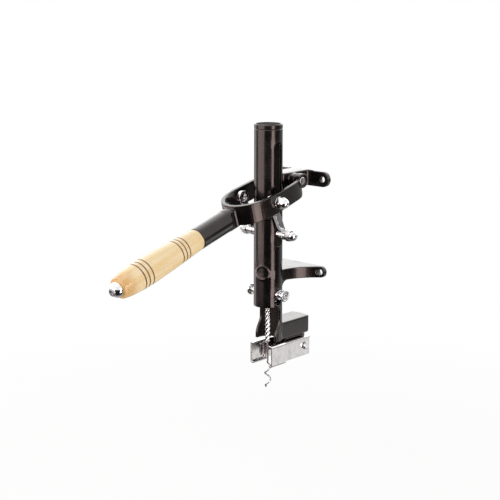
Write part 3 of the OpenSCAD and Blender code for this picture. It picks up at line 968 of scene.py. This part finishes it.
@dataclass
class Kit:
    """Places, finishes and rules, and the count of pieces."""

    places: Places
    finishes: dict[Look, bpy.types.Material]
    wire: WireRule = field(default_factory=WireRule)
    twist: TwistRule = field(default_factory=TwistRule)
    pair: PairRule = field(default_factory=PairRule)
    made: int = 0

    def enter(self, piece: Object, role: Role) -> None:
        """Dresses a new piece and puts it on its body.

        Args:
            piece: The piece.
            role: What it is for.
        """
        piece.data.materials.clear()
        piece.data.materials.append(self.finishes[role.look])
        if role.whole:
            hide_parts(role.node)
        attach(piece, role.body)
        self.made += 1
        log.info("%s rides on %s, %d faces", piece.name, role.body, len(piece.data.polygons))

    def keep(self, look: Look, *nodes: str) -> None:
        """Gives CAD nodes that stay as they are a finish."""
        for name in nodes:
            mesh = bpy.data.objects[name].data
            mesh.materials.clear()
            mesh.materials.append(self.finishes[look])
            log.info("%s keeps its CAD shape", name)

    def ease(self, name: str, easing: Easing, role: Role) -> None:
        """Makes and enters an eased copy of the role's CAD node."""
        self.enter(easing.copy(name, role.node), role)

    def add(self, name: str, shell: Shell, place: Matrix, role: Role,
            sharp_deg: float = SHARP_DEG) -> None:
        """Makes and enters a piece from a shell in a frame of millimetres."""
        self.enter(settle(name, shell_mesh(name, shell, place), sharp_deg), role)

    def add_wire(self, name: str, path: np.ndarray, radii: np.ndarray, sides: int, role: Role) -> Object:
        """Makes and enters a wire.

        Args:
            name: Name of the piece.
            path: Its points in the barrel's frame, one row each.
            radii: Radius of the wire at each point.
            sides: Sides of the wire's section.
            role: What it is for.

        Returns:
            The wire.
        """
        mesh = bpy.data.meshes.new(name)
        mesh.from_pydata([tuple(p) for p in path], [(i, i + 1) for i in range(len(path) - 1)], [])
        thickness = mesh.attributes.new("thickness", "FLOAT", "POINT")
        thickness.data.foreach_set("value", radii.astype(np.float32))
        values = {"Sides": sides, "Finish": self.finishes[role.look]}
        piece = self.wire.run(name, mesh, values, self.places.barrel)
        self.enter(piece, role)
        return piece

    def add_pair(self, name: str, shell: Shell, place: Matrix, role: Role) -> None:
        """Lays a piece that is turned about Z to the right, adds its twin and enters both as one."""
        values = {"Count": 2, "Finish": self.finishes[role.look]}
        self.enter(self.pair.run(name, shell_mesh(name, shell, ALONG_X), values, place), role)


@dataclass(frozen=True)
class DomedNut:
    """A hexagon nut with a round cap over the thread.

    Attributes:
        across: Distance between two flats.
        chamfer: Heights on the hexagon, and the share of the corner's radius that is left there.
        neck: Height and radius where the dome starts.
        total_h: Height of the whole nut.
        dome_r: Radius of the dome.
        dome_arc: First and last angle on the dome.
        dome_rows: Rings on the dome.
        depth: Depth of the bore.
    """

    across: float = 13.0
    chamfer: tuple[Pair, ...] = (
        (0.0, 0.86), (0.35, 0.93), (0.9, 0.975), (2.6, 0.985), (5.1, 0.975), (5.9, 0.92), (6.4, 0.85))
    neck: Pair = (6.65, 6.15)
    total_h: float = 13.0
    dome_r: float = 6.3
    dome_arc: Pair = (0.02, math.pi / 2 - 0.06)
    dome_rows: int = 12
    depth: float = 8.6

    def shell(self, start: float) -> Shell:
        """The nut about Z.

        Args:
            start: Height of its face, in millimetres.

        Returns:
            Its points and faces.
        """
        angles = np.linspace(0, TURN, LARGE_ROUND, endpoint=False)
        sixth = TURN / 6
        swing = (angles + sixth / 2) % sixth - sixth / 2
        flat = self.across / 2 / np.cos(swing)
        corner = self.across / math.sqrt(3)
        centre = self.total_h - self.dome_r
        limits = [(height, share * corner) for height, share in self.chamfer] + [self.neck]
        for a in np.linspace(*self.dome_arc, self.dome_rows):
            limits.append((centre + self.dome_r * math.sin(a), self.dome_r * math.cos(a)))
        rings = [ring(0.0, self.depth, angles[:1])]
        rings += [ring(PIN_R, height, angles) for height in (self.depth, 0.0)]
        rings += [ring(np.minimum(flat, limit), height, angles) for height, limit in limits]
        points, faces = join_rings([*rings, ring(0.0, self.total_h, angles[:1])])
        return points + (0.0, 0.0, start), faces


# ---------- Sub-assemblies ----------
# A profile's points are radius, distance along the axis and reach of the rounding, in millimetres.


@dataclass
class Barrel:
    """The cast barrel with its brackets, the cap, the bare pad and the pins in it."""

    kit: Kit
    casting: Easing = Easing(0.75, 5)
    screw: Easing = Easing(0.2, 2)
    cap_ring: tuple[Point, ...] = (
        (0.0, -0.9, 0.0), (14.9, -0.9, 0.2), (15.3, -0.1, 0.2), (16.0, 0.0, 0.3), (16.7, -0.9, 0.3),
        (16.7, -5.25, 0.2), (16.25, -5.5, 0.0), (13.4, -5.5, 0.0), (13.4, -10.5, 0.0), (12.4, -11.5, 0.0),
        (0.0, -11.5, 0.0))
    cap_face: tuple[Point, ...] = (
        (0.0, -0.55, 0.0), (14.3, -0.55, 0.3), (14.6, -0.95, 0.0), (0.0, -0.95, 0.0))
    pad_r: float = 8.4
    pad_rises: tuple[Pair, ...] = (
        (1.0, -0.6), (1.0, 0.12), (0.97, 0.3), (0.93, 0.32), (0.88, 0.18), (0.6, 0.17), (0.3, 0.16),
        (0.0, 0.16))
    pad_drop: float = 174.7
    pad_turn_deg: float = 18.0
    pad_seat_r: float = 17.55
    pad_sharp_deg: float = 60.0
    pivot: tuple[Point, ...] = ((0.0, -27.5, 0.0), (4.5, -27.5, 0.9), (4.5, 27.5, 0.9), (0.0, 27.5, 0.0))

    def build(self) -> None:
        """Makes and enters the barrel's pieces."""
        places = self.kit.places
        self.kit.ease("cast_barrel", self.casting, Role(Look.BARREL, "barrel", "body_casting"))
        cap = turned(soften(self.cap_ring), LARGE_ROUND)
        self.kit.add("cap_ring", cap, places.barrel, Role(Look.ENAMEL, "barrel", "top_cap"))
        face = turned(soften(self.cap_face), LARGE_ROUND)
        self.kit.add("cap_face", face, places.barrel, Role(Look.BLACKED, "barrel", "top_cap", False))
        self._pad()
        pin = turned(soften(self.pivot), SMALL_ROUND)
        role = Role(Look.PLATE, "barrel", "lever_pivot_pin")
        self.kit.add("pivot_pin", pin, places.pivot @ ALONG_X, role)
        self.kit.ease("slotted_jaw_screw", self.screw, Role(Look.PLATE, "barrel", "jaw_screw"))
        self.kit.keep(Look.PLATE, "jaw_nut")

    def _pad(self) -> None:
        """A bare round pad with a raised rim, wrapped on the barrel's front."""
        angles = np.linspace(0, TURN, MIDDLE_ROUND, endpoint=False)
        turn = math.radians(self.pad_turn_deg)
        rings = []
        for share, rise in self.pad_rises:
            spread = angles if share else angles[:1]
            across = self.pad_r * share * np.cos(spread) / self.pad_seat_r + turn
            height = self.pad_r * share * np.sin(spread) - self.pad_drop
            radius = self.pad_seat_r + rise
            rings.append(np.stack([radius * np.sin(across), -radius * np.cos(across), height], axis=1))
        shell = join_rings([rings[0].mean(axis=0, keepdims=True), *rings])
        role = Role(Look.ENAMEL, "barrel", "body_casting", False)
        self.kit.add("bare_pad", shell, self.kit.places.barrel, role, self.pad_sharp_deg)


@dataclass
class Lever:
    """The ring lever with its socket, the nuts in it, the grip and its end."""

    kit: Kit
    fork: Easing = Easing(0.52, 2)
    screw: Easing = Easing(0.18, 2)
    hole_r: float = 4.05
    grip_r: float = 15.7
    grip_shape: tuple[Pair, ...] = (
        (0.0, 0.777), (0.06, 0.815), (0.35, 0.93), (0.62, 1.0), (0.78, 0.985), (0.92, 0.89), (1.0, 0.76))
    grip_rows: int = 90
    shape_rows: int = 601
    shape_window: int = 41
    shape_past: float = 0.1
    root_ease: float = 0.5
    tip_ease: tuple[Pair, ...] = ((0.3, 0.25), (1.2, 0.0))
    grip_sharp_deg: float = 50.0
    groove_depth: float = 0.55
    groove_half_w: float = 0.51
    groove_reach: float = 2.0
    groove_rows: int = 17
    cap_flange: tuple[Point, ...] = (
        (4.05, 3.0, 0.0), (4.05, 0.02, 0.0), (8.8, 0.02, 0.25), (8.8, 1.3, 0.2))
    cap_recess: tuple[Point, ...] = (
        (4.65, 9.1, 0.3), (4.3, 8.8, 0.2), (4.3, 7.2, 0.0), (2.4, 7.2, 0.0), (2.4, 3.0, 0.0))
    dome_r: float = 8.888
    dome_h: float = 8.9
    dome_base: float = 1.0
    dome_arc_deg: Pair = (8.0, 58.0)
    dome_rows: int = 9
    dome_steps: int = 3
    dome_sharp_deg: float = 30.0
    ring_half_w: float = 33.0
    washer_r: float = 7.0
    washer_t: float = 1.3

    def build(self) -> None:
        """Makes and enters the lever's pieces."""
        self.kit.ease("ring_lever", self.fork, Role(Look.ENAMEL, "lever", "lever_fork"))
        self._grip()
        self._end_cap()
        self.kit.ease("grip_end_screw", self.screw, Role(Look.STEEL, "lever", "end_screw"))
        place = self.kit.places.link_pin
        start = self.ring_half_w + self.washer_t
        discs = washer(PIN_R, self.washer_r, self.ring_half_w, start)
        self.kit.add_pair("ring_washers", discs, place, Role(Look.PLATE, "lever", "link_washers"))
        nuts = DomedNut().shell(start)
        self.kit.add_pair("ring_nuts", nuts, place, Role(Look.PLATE, "lever", "link_acorn_nuts"))
        self.kit.keep(Look.STEEL, "handle_rod")
        self.kit.keep(Look.PLATE, "link_screws")

    def _grip(self) -> None:
        """The turned grip, with its grooves cut into the wood."""
        length = self.kit.places.grip_len
        even = np.linspace(0, length, self.grip_rows)
        reach = np.linspace(-self.groove_reach, self.groove_reach, self.groove_rows)
        near = np.concatenate([length * groove + reach for groove in GROOVES])
        along = np.unique(np.round(np.concatenate([even, near]), 3))
        shares, sizes = zip(*self.grip_shape)
        fine = np.linspace(-self.shape_past, 1 + self.shape_past, self.shape_rows)
        window = np.hanning(self.shape_window)
        smooth = np.convolve(np.interp(fine, shares, sizes), window / window.sum(), "same")
        radius = self.grip_r * np.interp(along / length, fine, smooth)
        for groove in GROOVES:
            radius -= self.groove_depth * np.exp(-(((along - length * groove) / self.groove_half_w) ** 2))
        profile = [(self.hole_r, 0.0), (radius[0] - self.root_ease, 0.0), *zip(radius[1:-1], along[1:-1])]
        profile += [(radius[-1] - inward, length - back) for inward, back in self.tip_ease]
        profile.append((self.hole_r, length))
        shell = turned(profile, GRIP_ROUND, closed=True)
        role = Role(Look.WOOD, "lever", "wood_grip")
        self.kit.add("turned_grip", shell, self.kit.places.grip, role, self.grip_sharp_deg)

    def _end_cap(self) -> None:
        """The domed cap on the grip's end, with a bright flange and a hole for its screw."""
        corners = list(self.cap_flange)
        for a in np.radians(np.linspace(*self.dome_arc_deg, self.dome_rows)):
            corners.append((self.dome_r * math.cos(a), self.dome_base + self.dome_h * math.sin(a), 0.0))
        corners += self.cap_recess
        base = self.kit.places.grip_len
        profile = [(r, h + base) for r, h in soften(corners, self.dome_steps)]
        shell = turned(profile, LARGE_ROUND, closed=True)
        role = Role(Look.PLATE, "lever", "end_cap")
        self.kit.add("grip_end_cap", shell, self.kit.places.grip, role, self.dome_sharp_deg)


@dataclass
class Carriage:
    """The carrier with the cross pin, its spacers, washers and nuts, and the two links."""

    kit: Kit
    link: Easing = Easing(0.34, 4)
    collar_r: float = 6.0
    collar: Pair = (17.3, 20.7)
    discs: tuple[Point, ...] = (
        (PIN_R, 25.9, 0.0), (6.0, 25.9, 0.35), (6.0, 28.08, 0.3), (5.4, 28.2, 0.0), (6.0, 28.32, 0.3),
        (6.0, 30.5, 0.35), (PIN_R, 30.5, 0.0))
    nut_start: float = 30.5

    def build(self) -> None:
        """Makes and enters the carriage's pieces. The discs are two washers, drawn as one form."""
        discs = turned(soften(self.discs), SMALL_ROUND, closed=True)
        for name, node, shell in (
            ("pin_collars", "pin_spacers", washer(PIN_R, self.collar_r, *self.collar)),
            ("pin_discs", "pin_washers", discs),
            ("pin_nuts", "pin_acorn_nuts", DomedNut().shell(self.nut_start)),
        ):
            self.kit.add_pair(name, shell, self.kit.places.cross_pin, Role(Look.PLATE, "carriage", node))
        for side in ("left", "right"):
            link = f"{side}_link"
            self.kit.ease(f"{side}_flat_link", self.link, Role(Look.PLATE, link, link))
        self.kit.keep(Look.BLACKED, "carrier")
        self.kit.keep(Look.BRASS, "spindle_bush")
        self.kit.keep(Look.PLATE, "cross_pin")


@dataclass
class Screw:
    """The twisted spindle and the worm under it."""

    kit: Kit
    top: float = 151.0
    end: float = 262.0
    lead: float = 16.0
    ridges: int = 3
    crest_r: float = 3.48
    depth: float = 1.5
    rings: int = 420
    shank_r: float = 1.75
    shank_drops: tuple[float, ...] = (262.0, 270.0, 284.0)
    coil_top: float = 287.0
    tip: float = 319.8
    coil_r: float = 3.4
    coil_rows: int = 201
    coil_opens: float = 0.2
    coil_closes: float = 0.35
    closing_power: int = 6
    wire_r: float = 1.4
    wire_sides: int = 20
    neck_to: float = 0.12
    point_from: float = 0.8
    point_size: float = 0.06
    start_deg: float = 200.0

    def build(self) -> None:
        """Makes and enters the spindle and the worm."""
        length = self.end - self.top
        values = {
            "Length": length, "Turns": length / self.lead, "Ridges": self.ridges,
            "Crest radius": self.crest_r, "Depth": self.depth, "Rings": self.rings,
            "Finish": self.kit.finishes[Look.PLATE]}
        seed = bpy.data.meshes.new("seed")
        spindle = self.kit.twist.run("twisted_spindle", seed, values, self.kit.places.down(self.top))
        self.kit.enter(spindle, Role(Look.PLATE, "screw", "spindle"))
        self._worm()
        self.kit.keep(Look.PLATE, "spindle_head")

    def _worm(self) -> None:
        """Straight shank, then a coil that opens from the axis and thins to a point."""
        share = np.linspace(0, 1, self.coil_rows)
        height = self.tip - self.coil_top
        angle = np.radians(self.start_deg) - TURN * share * height / self.lead
        opening = np.minimum(1, share / self.coil_opens)
        closing = 1 - self.coil_closes * share ** self.closing_power
        coil = ring(self.coil_r * opening * closing, -self.coil_top - height * share, angle)
        shank = np.array([(0.0, 0.0, -drop) for drop in self.shank_drops])
        narrowing = np.interp(share, (0.0, self.neck_to), (self.shank_r, self.wire_r))
        taper = np.interp(share, (self.point_from, 1.0), (1.0, self.point_size))
        radii = np.concatenate([np.full(len(shank), self.shank_r), narrowing * taper])
        path = np.concatenate([shank, coil])
        role = Role(Look.STEEL, "screw", "worm")
        self.kit.add_wire("worm_wire", path, radii, self.wire_sides, role)


@dataclass
class Holder:
    """The nut holder with its spring and the two thumb screws."""

    kit: Kit
    ledge: float = 215.4
    bottom: float = 206.6
    give: float = 3.0
    coil_r: float = 11.8
    coil_rows: int = 97
    wire_r: float = 0.8
    wire_sides: int = 12
    turns: float = 2.0
    thumb_drop: float = 202.0
    thumb: tuple[Point, ...] = (
        (0.0, 7.5, 0.0), (2.5, 7.5, 0.3), (2.5, 13.6, 0.0), (5.8, 13.6, 0.3), (5.8, 19.4, 0.6),
        (3.4, 19.6, 0.3), (3.4, 25.0, 0.4), (6.2, 25.0, 0.5), (7.0, 25.8, 0.5), (7.0, 27.4, 0.5),
        (6.3, 28.1, 0.4), (5.1, 28.1, 0.4), (4.6, 27.5, 0.4), (2.6, 27.5, 0.3), (2.2, 27.9, 0.3),
        (0.0, 27.95, 0.0))

    def build(self) -> None:
        """Makes and enters the holder's pieces. A thumb screw is a bush, a neck and a dished disc."""
        self.kit.keep(Look.STEEL, "nut_holder", "nut_ring")
        self.kit.keep(Look.BRASS, "drive_nut")
        self._spring()
        thumb = turned(soften(self.thumb), MIDDLE_ROUND)
        for side, quarter in (("left", -math.pi / 2), ("right", math.pi / 2)):
            place = self.kit.places.down(self.thumb_drop) @ Matrix.Rotation(quarter, 4, "Y")
            role = Role(Look.PLATE, f"{side}_thumb", f"{side}_thumb_screw")
            self.kit.add(f"{side}_thumb_disc", thumb, place, role)

    def _spring(self) -> None:
        """The spring between the ledge and the holder."""
        share = np.linspace(0, 1, self.coil_rows)
        full = self.ledge - self.bottom
        height = -self.ledge + self.wire_r + (full - 2 * self.wire_r) * share
        coil = ring(self.coil_r, height, TURN * self.turns * share)
        radii = np.full(len(coil), self.wire_r)
        role = Role(Look.STEEL, "barrel", "holder_spring")
        spring = self.kit.add_wire("holder_coil", coil, radii, self.wire_sides, role)
        anchor = tuple(self.kit.places.down(self.ledge).translation)
        keep = (full - self.give) / full
        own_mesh(spring)


@dataclass
class Jaws:
    """The two pressed jaws that take the bottle's neck, each with a framed rubber panel.

    The rises are the distances of a panel's four outlines from the tab's inner face, towards the
    tab when positive, and the shares are the sizes of those outlines.
    """

    kit: Kit
    jaw: Easing = Easing(0.42, 4)
    tab_x: float = 13.0
    tab_y: Pair = (5.4, 13.4)
    tab_z: Pair = (-283.5, -269.8)
    corner_r: float = 1.12
    frame_w: float = 1.1
    shares: tuple[float, ...] = (1.0, 1.0, 0.95, 0.5)
    frame_rises: tuple[float, ...] = (0.25, -0.35, -0.5, -0.5)
    rubber_rises: tuple[float, ...] = (-0.1, -0.6, -0.8, -0.8)
    outline_points: int = 48

    def build(self) -> None:
        """Makes and enters both jaws and their panels."""
        for side, sign in (("left", -1.0), ("right", 1.0)):
            body = f"{side}_jaw"
            self.kit.ease(f"{side}_pressed_jaw", self.jaw, Role(Look.SATIN, body, body))
            for part, look, inset, rises in (
                ("panel_frame", Look.SATIN, 0.0, self.frame_rises),
                ("rubber_panel", Look.RUBBER, self.frame_w, self.rubber_rises),
            ):
                shell = self._plate(sign, inset, rises)
                role = Role(look, body, body, False)
                self.kit.add(f"{side}_{part}", shell, self.kit.places.barrel, role)

    def _plate(self, sign: float, inset: float, rises: Sequence[float]) -> Shell:
        """A thin plate with round corners on the tab's inner face.

        Args:
            sign: -1 on the left, 1 on the right.
            inset: Distance of its edge from the tab's edge.
            rises: Distances of its outlines from the tab's face.

        Returns:
            Its points and faces.
        """
        middle = np.array([sum(self.tab_y), sum(self.tab_z)]) / 2
        half = np.array([self.tab_y[1] - self.tab_y[0], self.tab_z[1] - self.tab_z[0]]) / 2 - inset
        angles = np.linspace(0, TURN, self.outline_points, endpoint=False)
        circle = np.stack([np.cos(angles), np.sin(angles)], axis=1)
        outline = circle * self.corner_r + np.sign(np.round(circle, 6)) * (half - self.corner_r)
        rings = []
        for rise, share in zip(rises, self.shares):
            across = np.full((len(outline), 1), sign * (self.tab_x + rise))
            rings.append(np.concatenate([across, middle + outline * share], axis=1))
        first, last = (edge.mean(axis=0, keepdims=True) for edge in (rings[0], rings[-1]))
        return join_rings([first, *rings, last])


# ---------- Studio ----------


@dataclass(frozen=True)
class Panel:
    """A soft panel of light, placed round the barrel from the camera's bearing.

    Attributes:
        turn_deg: Its bearing from the camera's, to the right when positive.
        rise_deg: Its angle above the barrel's middle.
        away: Its distance, in metres.
        width: Its width, in metres.
        height: Its height, in metres.
        glow: Its brightness.
        tint: Its colour.
    """

    turn_deg: float
    rise_deg: float
    away: float
    width: float
    height: float
    glow: float
    tint: Point


LAMPS = {
    "key_softbox": Panel(-55.0, 62.0, 1.2, 1.0, 1.0, 1.6, WHITE),
    "upper_left_panel": Panel(-62.0, 4.0, 0.9, 0.95, 0.6, 2.3, WARM),
    "left_rim_panel": Panel(-128.0, -12.0, 0.9, 0.35, 0.9, 1.1, WARM),
    "right_strip": Panel(38.0, -10.0, 1.0, 0.36, 1.0, 4.6, WARM),
    "low_right_panel": Panel(97.0, -26.5, 1.0, 0.8, 0.28, 0.64, WHITE),
}


@dataclass
class Studio:
    """The pale floor, the soft lamps, the world and the camera.

    The upper and the lower room are what metal mirrors above and below the horizon, first behind
    the part and then where the camera stands. The other pairs say where a change starts and ends.
    """

    places: Places
    azimuth_deg: float = 42.5
    pitch_deg: float = 12.2
    stand: Point = (962.4, -1082.0, 162.8)
    lens: float = 90.0
    near_clip: float = 0.05
    ambient: float = 0.5
    upper_room: Pair = (2.2, 1.0)
    lower_room: Pair = (0.4, 0.015)
    camera_side: Pair = (-0.45, 0.1)
    horizon: Pair = (-0.02, 0.12)
    floor_drop: float = 520.0
    floor_half: float = 6.0
    floor_fade: Pair = (0.35, 1.1)
    floor_white: Pair = (0.9, 1.0)
    floor_grain: Grain = Grain(60.0)
    floor_tints: tuple[Point, Point] = ((0.93, 0.93, 0.93), (0.95, 0.95, 0.95))
    lamp_drop: float = 150.0

    def build(self) -> None:
        """Makes everything that isn't the object."""
        bpy.context.scene.view_settings.view_transform = "Standard"
        self._camera()
        self._world()
        self._floor()
        for name, panel in LAMPS.items():
            self._lamp(name, panel)

    def _axes(self) -> tuple[Vector, Vector, Vector]:
        """The camera's right, up and forward directions."""
        turn = math.radians(self.azimuth_deg)
        pitch = math.radians(self.pitch_deg)
        right = Vector((math.cos(turn), math.sin(turn), 0))
        forward = Vector((
            -math.sin(turn) * math.cos(pitch), math.cos(turn) * math.cos(pitch), -math.sin(pitch)))
        return right, right.cross(forward), forward

    def _camera(self) -> None:
        """A camera at the photograph's angle, with a long lens."""
        data = bpy.data.cameras.new("camera")
        data.lens = self.lens
        data.clip_start = self.near_clip
        camera = linked("camera", data)
        right, up, forward = self._axes()
        turn = Matrix((right, up, -forward)).transposed().to_4x4()
        camera.matrix_world = Matrix.Translation(self.places.barrel @ Vector(self.stand)) @ turn
        bpy.context.scene.camera = camera

    def _world(self) -> None:
        """White to the camera, and to metal a white room with a dark side where the camera stands."""
        world = bpy.data.worlds.new("studio")
        bpy.context.scene.world = world
        graph = Graph.fresh(world)
        rays = graph.node("ShaderNodeLightPath").outputs
        direction = graph.node("ShaderNodeTexCoord").outputs["Object"]
        front = graph.measure("DOT_PRODUCT", direction, tuple(-self._axes()[2])).step(*self.camera_side)
        above = graph.measure("DOT_PRODUCT", direction, (0.0, 0.0, 1.0)).step(*self.horizon)
        glow = between(above, between(front, *self.lower_room), between(front, *self.upper_room))
        mirrored, ambient, seen = (
            graph.node("ShaderNodeBackground", {"Color": WHITE, "Strength": strength}).outputs[0]
            for strength in (glow, self.ambient, 1.0))
        lit = graph.node("ShaderNodeMixShader", {0: rays["Is Glossy Ray"], 1: ambient, 2: mirrored})
        clear = graph.math("MAXIMUM", rays["Is Camera Ray"], rays["Is Transmission Ray"])
        final = graph.node("ShaderNodeMixShader", {0: clear, 1: lit.outputs[0], 2: seen})
        graph.node("ShaderNodeOutputWorld", {"Surface": final.outputs[0]})

    def _floor(self) -> None:
        """A wide pale floor that fades into the white of the room, and that metal doesn't mirror."""
        centre = self.places.down(self.floor_drop).translation
        ends = (-self.floor_half, self.floor_half)
        mesh = bpy.data.meshes.new("floor")
        mesh.from_pydata([(x, y, centre.z) for y in ends for x in ends], [], [(0, 1, 3, 2)])
        floor = linked("floor", mesh)
        material = bpy.data.materials.new("pale_floor")
        graph = Graph.fresh(material)
        place = graph.node("ShaderNodeTexCoord").outputs["Object"]
        away = graph.measure("LENGTH", graph.vector("SUBTRACT", place, tuple(centre)))
        paint = graph.blend(graph.noise(place, self.floor_grain), *self.floor_tints)
        matt = graph.node("ShaderNodeBsdfDiffuse", {"Color": paint})
        white = graph.node("ShaderNodeEmission", {"Strength": 1.0})
        share = between(away.step(*self.floor_fade), *self.floor_white)
        mixed = graph.node("ShaderNodeMixShader", {0: share, 1: matt.outputs[0], 2: white.outputs[0]})
        graph.node("ShaderNodeOutputMaterial", {"Surface": mixed.outputs[0]})
        mesh.materials.append(material)
        floor.visible_glossy = False

    def _lamp(self, name: str, panel: Panel) -> None:
        """Hangs one soft panel that faces the barrel.

        Args:
            name: Its name.
            panel: Its place, size and brightness.
        """
        data = bpy.data.lights.new(name, "AREA")
        data.shape = "RECTANGLE"
        data.size = panel.width
        data.size_y = panel.height
        data.color = panel.tint
        data.energy = panel.glow * math.pi * panel.width * panel.height
        lamp = linked(name, data)
        bearing = math.radians(self.azimuth_deg - 90.0 + panel.turn_deg)
        rise = math.radians(panel.rise_deg)
        out = Vector((
            math.cos(bearing) * math.cos(rise), math.sin(bearing) * math.cos(rise), math.sin(rise)))
        lamp.location = self.places.down(self.lamp_drop).translation + out * panel.away
        lamp.rotation_euler = (-out).to_track_quat("-Z", "Y").to_euler()
        lamp.visible_camera = False


# ---------- The whole ----------


def make_finishes(places: Places) -> dict[Look, bpy.types.Material]:
    """Builds each finish once.

    Args:
        places: Frames, which the bore and the wood's grain follow.

    Returns:
        The materials by look.
    """
    top = places.barrel.translation
    wood = LacqueredWood(
        start=tuple(places.grip.translation),
        axis=tuple((places.grip.to_3x3() @ Vector((0, 0, 1))).normalized()),
        length=places.grip_len * MM,
        scorch_half_w=SCORCH_HALF_W / places.grip_len,
    )
    finishes = {
        Look.ENAMEL: Enamel(),
        Look.BARREL: BoredEnamel(axis=(top.x, top.y, 0.0)),
        Look.BLACKED: BLACKED,
        Look.PLATE: PLATE,
        Look.SATIN: replace(PLATE, first=(0.80, 0.785, 0.78), second=(0.70, 0.68, 0.67), rough=0.13),
        Look.STEEL: STEEL,
        Look.BRASS: replace(STEEL, first=(0.78, 0.6, 0.3), second=(0.5, 0.35, 0.15)),
        Look.RUBBER: RUBBER,
        Look.WOOD: wood,
    }
    return {look: finish.make(look.value) for look, finish in finishes.items()}


def main() -> None:
    """Loads the frame and builds the sub-assemblies and the studio in order."""
    logging.basicConfig(level=logging.INFO, format="%(name)s: %(message)s")
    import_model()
    places = Places.find()
    kit = Kit(places, make_finishes(places))
    for part in (Barrel(kit), Lever(kit), Carriage(kit), Screw(kit), Holder(kit), Jaws(kit)):
        part.build()
        log.info("%s is done", type(part).__name__)
    Studio(places).build()
    log.info("%d pieces made", kit.made)


if __name__ == "__main__":
    main()
